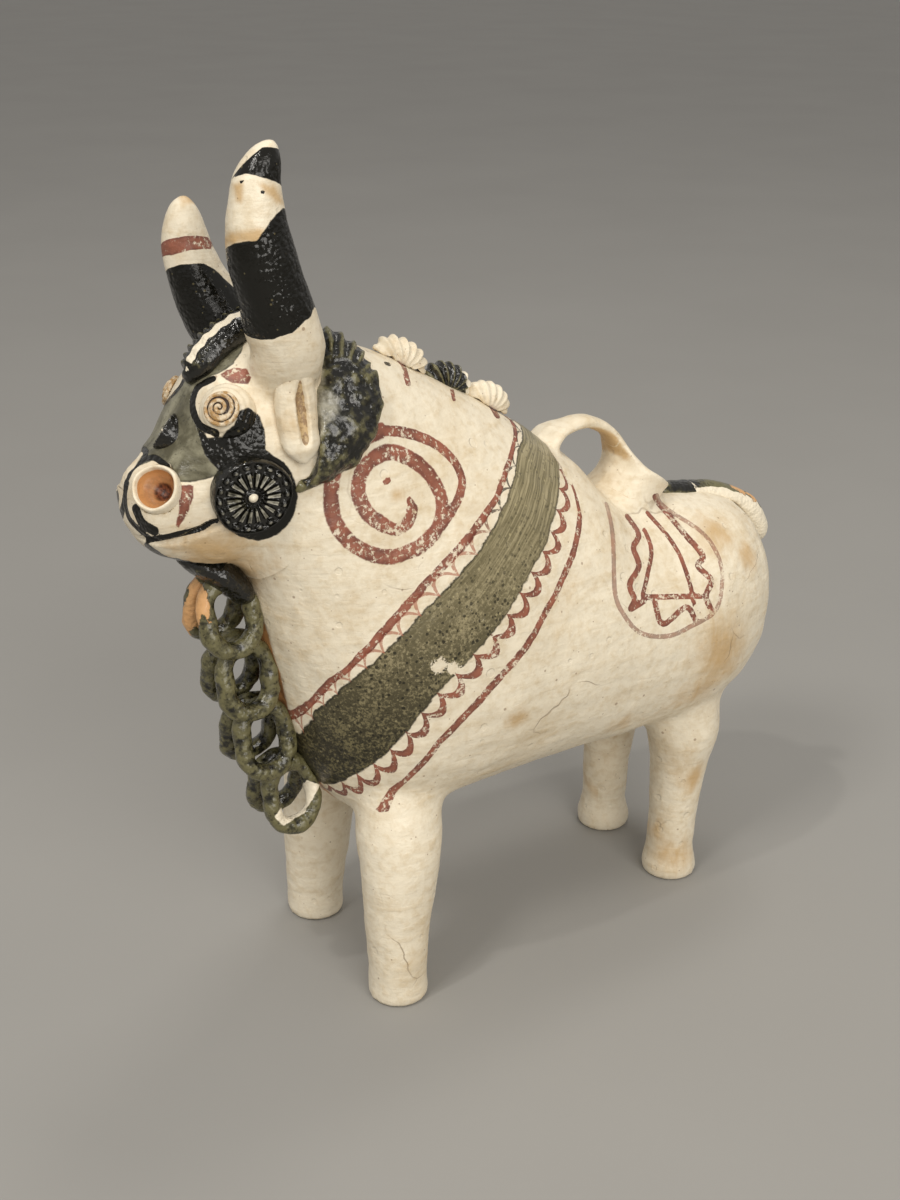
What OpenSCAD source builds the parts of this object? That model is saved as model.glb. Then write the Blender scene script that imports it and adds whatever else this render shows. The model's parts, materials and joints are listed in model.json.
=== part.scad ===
// Pucara bull: a hollow fired clay bull vessel, modelled piece by piece as a potter lutes it together.
// Frame: the bull faces -Y, its left side is +X, +Z is up, and the soles stand on z = 0. Millimetres.

/* [Stance] */
// Distance between the front and the hind soles
wheelbase = 126; // [118:1:134]
// Distance between the two front soles, centre to centre
front_track = 59; // [52:1:64]
// Distance between the two hind soles, centre to centre
hind_track = 41; // [36:1:48]
// Width of a sole
sole_d = 20.5; // [18:0.5:24]
// Width of a front leg at its shank
front_shank_d = 19; // [16:0.5:22]
// Width of a hind leg at its shank
hind_shank_d = 16; // [14:0.5:20]
// Height of the bevel round a sole
sole_bevel = 1.5; // [0.5:0.25:2.5]

/* [Trunk] */
// Height of the belly above the ground
belly_z = 61; // [56:1:66]
// Height of the barrel from belly to back
barrel_h = 88; // [82:1:92]
// Width of the barrel at the flanks
barrel_w = 85; // [78:1:92]
// How far the rump reaches behind the hind soles
rump_reach = 42; // [38:1:48]
// Thickness of the thrown wall
wall = 5; // [3.5:0.5:6.5]

/* [Neck and collar] */
// Width of the shoulders at the collar seam
shoulder_w = 89; // [82:1:96]
// Height of the withers, where the collar crosses the back
withers_z = 175; // [170:1:180]
// How far the brisket reaches ahead of the front soles
brisket_reach = 15; // [12:1:18]
// Width of the neck halfway up
neck_w = 72; // [66:1:78]

/* [Head] */
// Height of the poll between the horns
poll_z = 229; // [225:1:234]
// How far the muzzle reaches ahead of the front soles
muzzle_reach = 71; // [67:1:75]
// Width of the head at the eyes
head_w = 45; // [42:1:49]
// Width of the muzzle
muzzle_w = 31; // [28:1:34]
// Height of the head from the muzzle's underside to the poll
head_h = 65; // [62:1:68]
// Height of the slit of the mouth
mouth_gap = 1.2; // [0.8:0.1:2]
// Length of the slit of the mouth
mouth_len = 27; // [22:1:30]

/* [Horns] */
// Height of the left horn's tip above the poll
left_horn_rise = 54; // [44:1:60]
// Height of the right horn's tip above the poll
right_horn_rise = 33; // [28:1:48]
// Width of the left horn where it leaves the head
left_horn_d = 24; // [21:0.5:26]
// Width of the right horn where it leaves the head
right_horn_d = 21; // [18:0.5:25]
// Distance between the horns' roots, centre to centre
horn_spread = 40; // [37:1:44]

/* [Face] */
// Length of an ear
ear_len = 42; // [36:1:45]
// Width of an ear
ear_w = 13; // [11:0.5:15]
// Width of the ball that an eye is pressed from
eye_d = 17; // [14:0.5:19]
// How far an eye stands out of the face
eye_stand = 4.6; // [3.5:0.1:5.5]
// Width of the pellet on an eye
pupil_d = 7.6; // [6:0.2:9]
// Width of a cheek rosette
cheek_rosette_d = 24; // [20:0.5:26]
// Petals on a cheek rosette
cheek_petals = 18; // [10:1:22]
// Width of the rosette on the bridge of the nose
nose_rosette_d = 13; // [11:0.5:15]
// Petals on the nose rosette
nose_petals = 12; // [8:1:14]
// Thickness of a rosette's disc
rosette_t = 4; // [3.25:0.25:5]
// Width of a nostril's hole
nostril_bore_d = 11; // [9:0.2:12]
// Thickness of a nostril's rim
nostril_rim = 2.4; // [2:0.1:3]
// Width of the air vent from a nostril into the head
vent_d = 5; // [3.5:0.5:6]

/* [Applied frills] */
// Width of a ruff behind an ear
ruff_w = 21; // [18:0.5:24]
// Thickness of a ruff
ruff_t = 8; // [6.5:0.5:10]
// Height of a mane tuft above the crest
tuft_h = 7; // [5:0.5:9]
// Thickness of a mane tuft
tuft_t = 9; // [7:0.5:11]
// Width of the forelock strip
forelock_w = 13; // [10:0.5:16]
// Height of the forelock strip above the forehead
forelock_h = 5; // [4:0.25:6]

/* [Dewlap] */
// Thickness of the coil that the loops are bent from
coil_d = 5.4; // [4.8:0.1:6]
// Width of a loop, between its coil's centres
loop_w = 15; // [14:0.5:16.5]
// Straight length of a loop's limbs
loop_limb = 6.5; // [5:0.5:7.5]
// Pairs of loops down the chest
loop_pairs = 4; // [2:1:4]

/* [Spout and handle] */
// Width of the spout's bore
spout_bore_d = 17; // [14:0.5:18]
// Thickness of the spout's wall
spout_wall = 4; // [3:0.25:5]
// Length of the spout's neck above the back
spout_h = 11; // [9:0.5:13]
// Lean of the spout towards the tail
spout_lean = 34; // [28:1:38]
// Rise of the handle above the withers
handle_rise = 6; // [4:0.5:9]
// Width of the handle strap at its crown
handle_w = 10; // [8:0.5:13]
// Thickness of the handle strap
handle_t = 4.8; // [4:0.2:6]

/* [Tail] */
// Thickness of the tail coil
tail_d = 10; // [8:0.5:12]

/* [Hidden] */
$fn = 48;

// Slip and glaze colours
cream = "#ddd0b5";
ochre = "#cda56e";
dark_glaze = "#3a3626";

// Facets round a shell, rings between two stations, facets round a coil and its steps between two rows
shell_sides = 32;
rings_per_station = 2;
coil_sides = 16;
coil_steps = 4;
// Gap left by the slip between two luted pieces
slip = 0.1;

// Places that the profile is drawn from, along and up on the median plane
front_y = -wheelbase / 2;
hind_y = wheelbase / 2;
back_z = belly_z + barrel_h;
jaw_z = poll_z - head_h;
rump_y = hind_y + rump_reach;
brisket_y = front_y - brisket_reach;
muzzle_y = front_y - muzzle_reach;
throat_y = (brisket_y + muzzle_y) / 2 + 7;
withers_y = front_y + 76;
poll_y = muzzle_y + 47;
brow_y = muzzle_y + 30;
bridge_y = muzzle_y + 14;

// Share of the way from one value to another
function mix(a, b, t) = a + (b - a) * t;

// Stations of the body, rump to muzzle: underside y and z, topline y and z, half width, pear
stations = [
    [rump_y, belly_z + 42, rump_y, belly_z + 52, 5, 0],
    [rump_y - 4, belly_z + 24, rump_y - 4, back_z - 23, 0.235 * barrel_w, 0],
    [rump_y - 13, belly_z + 9, rump_y - 13, back_z - 10, 0.375 * barrel_w, 0],
    [rump_y - 30, belly_z + 2, rump_y - 30, back_z - 4, 0.46 * barrel_w, 0],
    [hind_y - 6, belly_z, hind_y - 5, back_z - 1, 0.495 * barrel_w, 0],
    [hind_y - 36, belly_z, hind_y - 22, back_z + 1, barrel_w / 2, 0],
    [hind_y - 68, belly_z, withers_y + 19, mix(back_z, withers_z, 0.3),
     mix(barrel_w, shoulder_w, 0.4) / 2, 0],
    [hind_y - 100, belly_z - 1, withers_y + 13, mix(back_z, withers_z, 0.6),
     mix(barrel_w, shoulder_w, 0.8) / 2, 0.03],
    [brisket_y + 14, belly_z, withers_y + 8, mix(back_z, withers_z, 0.8), shoulder_w / 2, 0.05],
    [brisket_y, belly_z + 11, withers_y, withers_z, 0.495 * shoulder_w, 0.08],
    [brisket_y - 9, belly_z + 35, withers_y - 10, withers_z + 8, 0.475 * shoulder_w, 0.1],
    [brisket_y - 14, belly_z + 57, withers_y - 25, withers_z + 18, mix(neck_w, shoulder_w, 0.3) / 2, 0.12],
    [throat_y + 3, jaw_z - 0.415 * head_h, withers_y - 43, mix(withers_z, poll_z, 0.52),
     0.475 * neck_w, 0.12],
    [throat_y, jaw_z - 0.2 * head_h, withers_y - 63, mix(withers_z, poll_z, 0.74), 0.42 * neck_w, 0.08],
    [throat_y - 3, jaw_z - 0.092 * head_h, poll_y + 17, poll_z - 0.092 * head_h,
     mix(head_w, neck_w, 0.3) / 2, 0.02],
    [throat_y - 7, jaw_z - 0.046 * head_h, poll_y, poll_z, 0.545 * head_w, 0],
    [throat_y - 13, jaw_z - 0.03 * head_h, brow_y, poll_z - 0.108 * head_h, 0.49 * head_w, 0],
    [throat_y - 19, jaw_z - 0.015 * head_h, bridge_y + 7, poll_z - 0.277 * head_h, 0.42 * head_w, -0.05],
    [muzzle_y + 14, jaw_z, bridge_y, poll_z - 0.43 * head_h, mix(muzzle_w, head_w, 0.22) / 2, -0.08],
    [muzzle_y + 8, jaw_z + 0.03 * head_h, muzzle_y + 8, jaw_z + 0.477 * head_h, muzzle_w / 2, -0.08],
    [muzzle_y + 3, jaw_z + 0.092 * head_h, muzzle_y + 2, jaw_z + 0.415 * head_h, 0.4 * muzzle_w, 0],
    [muzzle_y, jaw_z + 0.2 * head_h, muzzle_y, jaw_z + 0.308 * head_h, 4, 0]
];
// Stations where the five shells are luted together, and where the hollow ends at the rump and the muzzle
rump_seam = 4;
shoulder_seam = 6;
collar_seam = 9;
head_seam = 13.5;
rump_hollow = 1;
muzzle_hollow = 19.5;
last_station = len(stations) - 1;

// Where the applied pieces sit on the body: station, and angle from the left side (0) to the topline (90)
ear_place = [14.75, 20];
eye_place = [16.35, 36];
cheek_place = [15.55, -15];
nose_place = [18, 90];
nostril_place = [19.8, 46];
tuft_places = [["front", 12.6], ["middle", 11.73], ["rear", 10.85]];

// A smooth curve through p1 and p2
function curve(p0, p1, p2, p3, t) =
    (2 * p1 + (p2 - p0) * t + (2 * p0 - 5 * p1 + 4 * p2 - p3) * t * t
     + (3 * p1 - p0 - 3 * p2 + p3) * t * t * t) / 2;
// The value at place s of a list of rows
function along(rows, s) =
    let (i = max(0, min(len(rows) - 2, floor(s))), last = len(rows) - 1)
    curve(rows[max(i - 1, 0)], rows[i], rows[i + 1], rows[min(i + 2, last)], s - i);
function unit(v) = v / norm(v);

// A point on the body at station s and angle a, or on its hollow when it is inset
function skin_point(s, a, inset = 0) =
    let (row = along(stations, s),
         low = [row[0], row[1]], high = [row[2], row[3]],
         mid = (low + high) / 2, half = norm(high - low) / 2,
         up = (high - low) / (2 * half),
         side = (row[4] - inset) * cos(a) * (1 - row[5] * sin(a)),
         rise = (half - inset) * sin(a))
    [side, mid[0] + rise * up[0], mid[1] + rise * up[1]];
function skin_ring(s, inset = 0) =
    [for (i = [0:shell_sides - 1]) skin_point(s, 360 * i / shell_sides, inset)];
// Ring places from one station to another
function ring_places(from, to) =
    let (n = round((to - from) * rings_per_station)) [for (i = [0:n]) from + (to - from) * i / n];
function reversed(list) = [for (i = [len(list) - 1:-1:0]) list[i]];
// Outward direction of the skin, from two tangents
function skin_normal(s, a, da = 2, ds = 0.05) =
    unit(cross(skin_point(s, a + da) - skin_point(s, a - da),
               skin_point(s + ds, a) - skin_point(s - ds, a)));

// A closed solid through rings of equal counts, joined end to end as a loop or capped
module skinned(rings, loop = false) {
    n = len(rings[0]);
    m = len(rings);
    spans = loop ? m : m - 1;
    sides = [for (r = [0:spans - 1], i = [0:n - 1])
        let (a = r * n + i, b = r * n + (i + 1) % n,
             c = ((r + 1) % m) * n + (i + 1) % n, d = ((r + 1) % m) * n + i)
        each [[a, c, b], [a, d, c]]];
    caps = loop ? [] : concat(
        [for (i = [1:n - 2]) [0, i, i + 1]],
        [for (i = [1:n - 2]) [(m - 1) * n, (m - 1) * n + i + 1, (m - 1) * n + i]]);
    polyhedron(points = [for (r = rings) each r], faces = concat(sides, caps));
}
// The body's outside as one solid between two stations, which seats what is luted on it
module body_form(from, to) {
    skinned([for (s = ring_places(from, to)) skin_ring(s)]);
}

// An oval coil along rows of x, y, z, half width and half thickness, its width square to ref.
// comb thins every other ring, and upto ends the coil at that row.
module coil(rows, ref, steps = coil_steps, comb = 0, upto = 0) {
    last = len(rows) - 1;
    end = upto > 0 ? upto : last;
    ds = 0.02;
    skinned([for (i = [0:end * steps])
        let (s = i / steps, row = along(rows, s),
             ahead = along(rows, min(s + ds, last)), behind = along(rows, max(s - ds, 0)),
             t = unit([for (k = [0:2]) ahead[k] - behind[k]]),
             w = unit(cross(ref, t)), d = cross(t, w),
             thin = 1 - comb * (i % 2))
        [for (j = [0:coil_sides - 1])
            let (a = 360 * j / coil_sides)
            [row[0], row[1], row[2]] + w * row[3] * cos(a) + d * row[4] * thin * sin(a)]]);
}

// Puts its children on the skin, with z outward and y as near upright as it goes
module on_skin(place, sink = 0) {
    n = skin_normal(place[0], place[1]);
    y = unit([0, 0, 1] - n * n[2]);
    x = cross(y, n);
    o = skin_point(place[0], place[1]) - n * sink;
    multmatrix([[x[0], y[0], n[0], o[0]], [x[1], y[1], n[1], o[1]], [x[2], y[2], n[2], o[2]], [0, 0, 0, 1]])
        children();
}
module sided(side) {
    if (side == "left") children();
    else mirror([1, 0, 0]) children();
}

// Middle of the box that the origin stands under: the nostrils lead the muzzle, and the tail the rump
nostril_lead = 2.9;
tail_lead = 2.8;
box_middle_y = (rump_y + tail_lead + muzzle_y - nostril_lead) / 2;
module placed() {
    translate([0, -box_middle_y, 0]) children();
}

// The spout stands on the back and leans to the tail, and its root reaches through the wall
spout_y = hind_y - 15;
spout_r = spout_bore_d / 2 + spout_wall;
spout_lip = 1.2;
spout_root = 16;
module on_spout() {
    translate([0, spout_y, back_z]) rotate([-spout_lean, 0, 0]) children();
}
module spout_form() {
    foot = spout_r + 3;
    on_spout() rotate_extrude() polygon([
        [0, -spout_root], [foot, -spout_root], [foot, -0.5 * spout_h], [spout_r + spout_lip, 0],
        [spout_r, 0.35 * spout_h], [spout_r, 0.75 * spout_h],
        [spout_r + spout_lip, 0.95 * spout_h], [spout_r + 0.7 * spout_lip, spout_h], [0, spout_h]
    ]);
}
// The straight way in through the spout, from above its lip to inside the trunk
module spout_bore(d) {
    on_spout() translate([0, 0, -2 * spout_root]) cylinder(h = 4 * spout_root, d = d);
}

// A length of the body that is open at both of its seams
module open_shell(from, to) {
    places = ring_places(from, to);
    skinned(concat(
        [for (s = places) skin_ring(s)], [for (s = reversed(places)) skin_ring(s, wall)]), loop = true);
}
module trunk_shell() {
    color(cream) placed() difference() {
        open_shell(rump_seam, shoulder_seam);
        spout_bore(spout_bore_d);
    }
}
// The bowl that closes the trunk behind
module rump_shell() {
    color(cream) placed() skinned(concat(
        [for (s = ring_places(0, rump_seam)) skin_ring(s)],
        [for (s = reversed(ring_places(rump_hollow, rump_seam))) skin_ring(s, wall)]));
}
module shoulder_shell() {
    color(cream) placed() open_shell(shoulder_seam, collar_seam);
}
module neck_shell() {
    color(cream) placed() open_shell(collar_seam, head_seam);
}

// The slit of the mouth runs back and a little upward from the lips
mouth_front_z = jaw_z + 0.115 * head_h;
mouth_rise = 13;
module below_mouth(gap) {
    translate([0, muzzle_y + mouth_len, mouth_front_z]) rotate([-mouth_rise, 0, 0])
        translate([-head_w, -2 * mouth_len, -2 * mouth_len + gap / 2])
        cube([2 * head_w, 2 * mouth_len, 2 * mouth_len]);
}
module head_shell() {
    color(cream) placed() difference() {
        skinned(concat(
            [for (s = reversed(ring_places(head_seam, muzzle_hollow))) skin_ring(s, wall)],
            [for (s = ring_places(head_seam, last_station)) skin_ring(s)]));
        below_mouth(mouth_gap);
        for (side = ["left", "right"]) sided(side) on_skin(nostril_place, 3 * wall)
            cylinder(h = 4 * wall, d = vent_d);
    }
}
module lower_jaw() {
    color(cream) placed() intersection() {
        body_form(head_seam, last_station);
        below_mouth(-mouth_gap);
    }
}

// A leg from its flat sole, flaring where it dies into the trunk
module leg(end, side) {
    front = end == "front";
    r = sole_d / 2;
    q = (front ? front_shank_d : hind_shank_d) / 2;
    x = (front ? front_track : hind_track) / 2;
    y = front ? front_y : hind_y;
    in = front ? -10 : 0;
    back = front ? 8 : 6;
    flare = front ? 1.55 : 1.8;
    rows = [
        [x, y, 0, r - sole_bevel, r - sole_bevel],
        [x, y, sole_bevel, r, r],
        [x, y, 0.1 * belly_z, 0.94 * r, 0.94 * r],
        [x, y, 0.22 * belly_z, 0.95 * q, 0.95 * q],
        [x + 0.1 * in, y + 0.1 * back, 0.5 * belly_z, q, 1.03 * q],
        [x + 0.2 * in, y + 0.3 * back, 0.8 * belly_z, 1.18 * q, 1.3 * q],
        [x + 0.5 * in, y + 0.5 * back, belly_z, 0.9 * flare * q, flare * q],
        [x + in, y + back, 1.35 * belly_z, q, 1.3 * q]
    ];
    color(cream) placed() sided(side) difference() {
        coil(rows, [0, 1, 0], 2);
        if (front) body_form(6, 10.5);
        else body_form(1, 6);
    }
}

// A horn from inside the poll, forward and then up to its blunt tip: the right one spreads wider
function horn_rows(side, grow = 0) =
    let (left = side == "left",
         tip_z = poll_z + (left ? left_horn_rise : right_horn_rise),
         q = (left ? left_horn_d : right_horn_d) / 2 + grow,
         x = horn_spread / 2,
         out = left ? 2 : 4,
         lead = left ? 7.5 : 11)
    [
        [x - 13, poll_y + 2, poll_z - 0.31 * head_h, 0.7 * q, 0.7 * q],
        [x - 2, poll_y - 5, poll_z - 4, 0.98 * q, 0.98 * q],
        [x + 0.5 * out, poll_y - 9.5, mix(poll_z, tip_z, 0.22), 0.96 * q, 0.96 * q],
        [x + 0.9 * out, poll_y - 11.5, mix(poll_z, tip_z, 0.5), 0.87 * q, 0.87 * q],
        [x + out, poll_y - 11.5, mix(poll_z, tip_z, 0.75), 0.69 * q, 0.69 * q],
        [x + out, poll_y - 0.5 * (11.5 + lead), mix(poll_z, tip_z, 0.92), 0.43 * q, 0.43 * q],
        [x + out, poll_y - lead, tip_z, 0.1 * q, 0.1 * q]
    ];
module horn(side) {
    color(dark_glaze) placed() sided(side) difference() {
        coil(horn_rows(side), [0, 1, 0]);
        body_form(13, 18);
    }
}
// The lower end of a horn, which the pieces round it stop against
module horn_root(side) {
    coil(horn_rows(side, slip), [0, 1, 0], upto = 3);
}

// A leaf-shaped ear with its groove, laid along the head: its upper end bends over the horn's root
ear_t = 4.6;
ear_bend = 9;
module ear_form(grow = 0) {
    q = ear_w / 2 + grow;
    t = ear_t + grow;
    coil([
        [0, 0.5 * ear_len, ear_bend, 0.08 * q, 0.12 * t],
        [0, 0.42 * ear_len, 0.85 * ear_bend, 0.55 * q, 0.52 * t],
        [0, 0.2 * ear_len, 0.4 * ear_bend, 0.95 * q, 0.87 * t],
        [0, -0.1 * ear_len, 0.1 * ear_bend, q, t],
        [0, -0.34 * ear_len, 0.05 * ear_bend, 0.7 * q, 0.78 * t],
        [0, -0.5 * ear_len, 0, 0.1 * q, 0.17 * t]
    ], [0, 0, 1]);
}
module ear(side) {
    groove_r = 0.16 * ear_w;
    color(cream) placed() sided(side) difference() {
        on_skin(ear_place) difference() {
            ear_form();
            coil([
                [0, 0.36 * ear_len, 0.75 * ear_bend + ear_t, 0.4, 0.4],
                [0, 0.1 * ear_len, 0.23 * ear_bend + ear_t, groove_r, groove_r],
                [0, -0.3 * ear_len, 0.07 * ear_bend + ear_t, groove_r, groove_r],
                [0, -0.42 * ear_len, ear_t, 0.4, 0.4]
            ], [0, 0, 1], 2);
        }
        body_form(12.5, 17);
        horn_root(side);
    }
}

// A dark combed flap standing behind the ear.
// Its steps: station, angle, out, up, share of its thickness, share of its width
ruff_steps = [
    [14.3, -12, 1, 0, 0.12, 0.06], [14, 2, 1, 0, 0.75, 0.6], [13.75, 24, 1, 0, 1, 1],
    [13.8, 48, 2, 2, 1, 0.85], [14.1, 64, 2, 3, 0.8, 0.5], [14.4, 74, 0, 1, 0.12, 0.06]
];
module ruff(side) {
    rows = [for (step = ruff_steps)
        let (p = skin_point(step[0], step[1]))
        [p[0] + step[2], p[1], p[2] + step[3], step[4] * ruff_t / 2, step[5] * ruff_w / 2]];
    color(dark_glaze) placed() sided(side) difference() {
        coil(rows, [0, 1, 0.15], comb = 0.1);
        body_form(12, 16.5);
        horn_root(side);
        on_skin(ear_place) ear_form(slip);
    }
}

// A ball eye pressed on the face, drawn as a dome, and the carved pellet at its middle
module eye_ball() {
    r = eye_d / 2;
    dome = [for (a = [0:15:120]) [r * sin(a), eye_stand - r + r * cos(a)]];
    rotate_extrude() polygon(concat([[0, dome[len(dome) - 1][1]]], reversed(dome)));
}
module eye(side) {
    color(cream) placed() sided(side) difference() {
        on_skin(eye_place) eye_ball();
        body_form(14.5, 18);
    }
}
module pupil(side) {
    q = pupil_d / 2;
    color(ochre) placed() sided(side) on_skin(eye_place) difference() {
        translate([0, 0, eye_stand]) rotate_extrude() polygon([
            [0, -3.2], [q, -3.2], [q, 0], [0.8 * q, 0.7], [0.55 * q, 0.7], [0.45 * q, 1.3], [0, 1.5]
        ]);
        eye_ball();
    }
}

// A stamped rosette: disc, raised rim, ring of petals and a middle dot
module rosette(d, petals) {
    r = d / 2;
    t = rosette_t;
    petal_w = min(0.72 * PI * r / petals, 0.2 * r);
    rotate_extrude() polygon([
        [0, -t], [r, -t], [r, 0.75 * t], [0.93 * r, 0.98 * t], [0.84 * r, 0.98 * t],
        [0.78 * r, 0.7 * t], [0.2 * r, 0.7 * t], [0.14 * r, t], [0, t]
    ]);
    for (i = [0:petals - 1])
        rotate([0, 0, 360 * i / petals]) translate([0.3 * r, -petal_w / 2, 0])
            cube([0.42 * r, petal_w, 0.92 * t]);
}
rosette_sink = 1.2;
module cheek_rosette(side) {
    color(dark_glaze) placed() sided(side) difference() {
        on_skin(cheek_place, rosette_sink) rosette(cheek_rosette_d, cheek_petals);
        body_form(14, 18);
    }
}
module nose_rosette() {
    color(dark_glaze) placed() difference() {
        on_skin(nose_place, rosette_sink) rosette(nose_rosette_d, nose_petals);
        body_form(16, 19.5);
    }
}

// A raised rim round each nostril
nostril_h = 2;
nostril_sink = 1.2;
module nostril_ring(side) {
    r = nostril_bore_d / 2;
    w = nostril_rim;
    h = nostril_h;
    color(cream) placed() sided(side) difference() {
        on_skin(nostril_place, nostril_sink) rotate_extrude() polygon([
            [r, -4 * h], [r + w, -4 * h], [r + w, 0.5 * h], [r + 0.7 * w, h], [r + 0.3 * w, h], [r, 0.6 * h]
        ]);
        body_form(17, last_station);
        translate([-head_w - slip / 2, muzzle_y - head_w, 0]) cube([head_w, 2 * head_w, 2 * poll_z]);
    }
}

// The frilled strip down the forehead. Its steps: station, share of its width, share of its height
forelock_steps = [
    [14.9, 0.3, 0.2], [15.1, 0.75, 0.8], [15.5, 1, 1], [15.95, 1, 1], [16.4, 0.9, 0.9], [16.75, 0.3, 0.2]
];
module forelock() {
    rows = [for (step = forelock_steps)
        let (p = skin_point(step[0], 90), n = skin_normal(step[0], 90), rise = 0.25 * forelock_h)
        [0, p[1] + n[1] * rise, p[2] + n[2] * rise, step[1] * forelock_w / 2, step[2] * forelock_h]];
    color(dark_glaze) placed() difference() {
        coil(rows, [0, -0.5, 1], comb = 0.12);
        body_form(13.5, 18.5);
        for (side = ["left", "right"]) sided(side) horn_root(side);
    }
}

// Three combed flaps along the crest of the neck
tuft_reach = 0.36;
tuft_sink = 3;
module mane_tuft(name) {
    s = [for (t = tuft_places) if (t[0] == name) t[1]][0];
    rows = [for (a = [0:30:180])
        let (u = s + tuft_reach * cos(a), p = skin_point(u, 90), n = skin_normal(u, 90),
             full = pow(sin(a), 0.7), h = tuft_h * full, mid = (h - tuft_sink) / 2)
        [0, p[1] + n[1] * mid, p[2] + n[2] * mid, tuft_t / 2 * (0.3 + 0.7 * full), (h + tuft_sink) / 2]];
    color(name == "middle" ? dark_glaze : cream) placed() difference() {
        coil(rows, [0, 0.7, 0.7], 3, 0.12);
        body_form(floor(s) - 1, floor(s) + 2.5);
    }
}

// The dark pad under the jaw that the loops hang from
module chin_form() {
    coil([
        [0, throat_y - 20, jaw_z - 0.046 * head_h, 2, 0.6],
        [0, throat_y - 15, jaw_z - 0.077 * head_h, 8, 3.4],
        [0, throat_y - 8, jaw_z - 0.138 * head_h, 10, 4.6],
        [0, throat_y - 1, jaw_z - 0.26 * head_h, 8, 4],
        [0, throat_y + 3, jaw_z - 0.355 * head_h, 2, 0.8]
    ], [0, 1, 0.6]);
}
module chin_pad() {
    color(dark_glaze) placed() difference() {
        chin_form();
        body_form(11.5, 19);
    }
}

// Two columns of coil loops down the chest: each leans out so that its foot covers the next one's head.
// The full count reaches from below the chin pad to the brisket.
most_pairs = 4;
loop_top_z = jaw_z - 0.346 * head_h;
loop_low_z = belly_z + 12.7;
loop_pitch = (loop_top_z - loop_low_z) / (most_pairs - 1);
loop_bite = 1.2;
loop_lean = asin((coil_d + 2 * slip) / loop_pitch);
loop_x = coil_d / 2 + slip + sin(loop_lean) * (loop_limb + loop_w) / 2;
// The chest's place on the median plane at a height
function chest_y(z) =
    let (s = [for (s = [collar_seam:0.1:14]) if (along(stations, s)[1] >= z) s][0]) along(stations, s)[0];
module loop_form(i) {
    z = loop_top_z - loop_pitch * (i - 1);
    y = chest_y(z) + loop_bite - (coil_d + loop_w) / 2;
    translate([loop_x, y, z]) rotate([0, -loop_lean, 0]) {
        for (end = [1, -1]) translate([0, 0, end * loop_limb / 2]) rotate([0, 90, 0])
            rotate([0, 0, end > 0 ? 90 : -90]) rotate_extrude(angle = 180)
            translate([loop_w / 2, 0]) circle(d = coil_d);
        for (limb = [1, -1]) translate([0, limb * loop_w / 2, -loop_limb / 2])
            cylinder(h = loop_limb, d = coil_d);
    }
}
module dewlap_loop(side, i) {
    color(dark_glaze) placed() sided(side) difference() {
        loop_form(i);
        if (i == 1) chin_form();
        if (i < 3) body_form(9.5, 14);
        else body_form(8, 11.5);
    }
}

// The strap that arches from the withers to the spout's upper rim
module handle_strap() {
    q = handle_w / 2;
    t = handle_t / 2;
    crown_y = withers_y + 18;
    crown_z = withers_z + handle_rise - t;
    rows = [
        [0, withers_y - 3, withers_z - 7, 1.6 * q, t],
        [0, withers_y + 3, withers_z + 1.5, 1.7 * q, t],
        [0, withers_y + 9, crown_z - 0.6, 1.2 * q, t],
        [0, crown_y, crown_z, q, t],
        [0, mix(crown_y, spout_y, 0.55), crown_z - 5, 1.1 * q, t],
        [0, spout_y - 2, back_z + 1.45 * spout_h, 0.8 * spout_r, t],
        [0, spout_y + 4, back_z + 0.8 * spout_h, 0.9 * spout_r, t]
    ];
    color(cream) placed() difference() {
        coil(rows, [0, 1, 0.3]);
        body_form(5.5, 11);
        spout_form();
        spout_bore(spout_bore_d + 1);
    }
}
module spout() {
    color(cream) placed() difference() {
        spout_form();
        spout_bore(spout_bore_d);
        body_form(2, 8);
    }
}

// The tail, laid down over the rump and standing off it more and more.
// Its steps: station, degrees to the left, share of its thickness, how far it stands off as a share too
tail_steps = [
    [3.8, 0, 0.4, -0.3], [3.5, 0, 0.8, -0.35], [3.1, 0, 1, -0.35], [2.6, 0, 1, -0.2], [2.1, 2, 1, 0.05],
    [1.55, 6, 0.9, 0.4], [1.15, 10, 0.8, 0.6], [0.85, 14, 0.65, 0.6], [0.65, 17, 0.2, 0.4]
];
module tail() {
    q = tail_d / 2;
    rows = [for (step = tail_steps)
        let (a = 90 - step[1], p = skin_point(step[0], a), n = skin_normal(step[0], a))
        concat(p + n * step[3] * q, [q * step[2], q * step[2]])];
    color(dark_glaze) placed() difference() {
        coil(rows, [1, 0, 0]);
        body_form(0, 5.5);
    }
}

trunk_shell();
rump_shell();
shoulder_shell();
neck_shell();
head_shell();
lower_jaw();
for (end = ["front", "hind"], side = ["left", "right"])
    leg(end, side);
for (side = ["left", "right"]) {
    horn(side);
    ear(side);
    ruff(side);
    eye(side);
    pupil(side);
    cheek_rosette(side);
    nostril_ring(side);
    for (i = [1:loop_pairs])
        dewlap_loop(side, i);
}
nose_rosette();
forelock();
for (place = ["front", "middle", "rear"])
    mane_tuft(place);
chin_pad();
handle_strap();
spout();
tail();
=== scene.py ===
"""Dresses the packed clay bull: a slip-coated skin with painted bands, and glazed pieces luted onto it."""
import json
import math

import bpy
import numpy as np
from mathutils import Matrix, Vector

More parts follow.
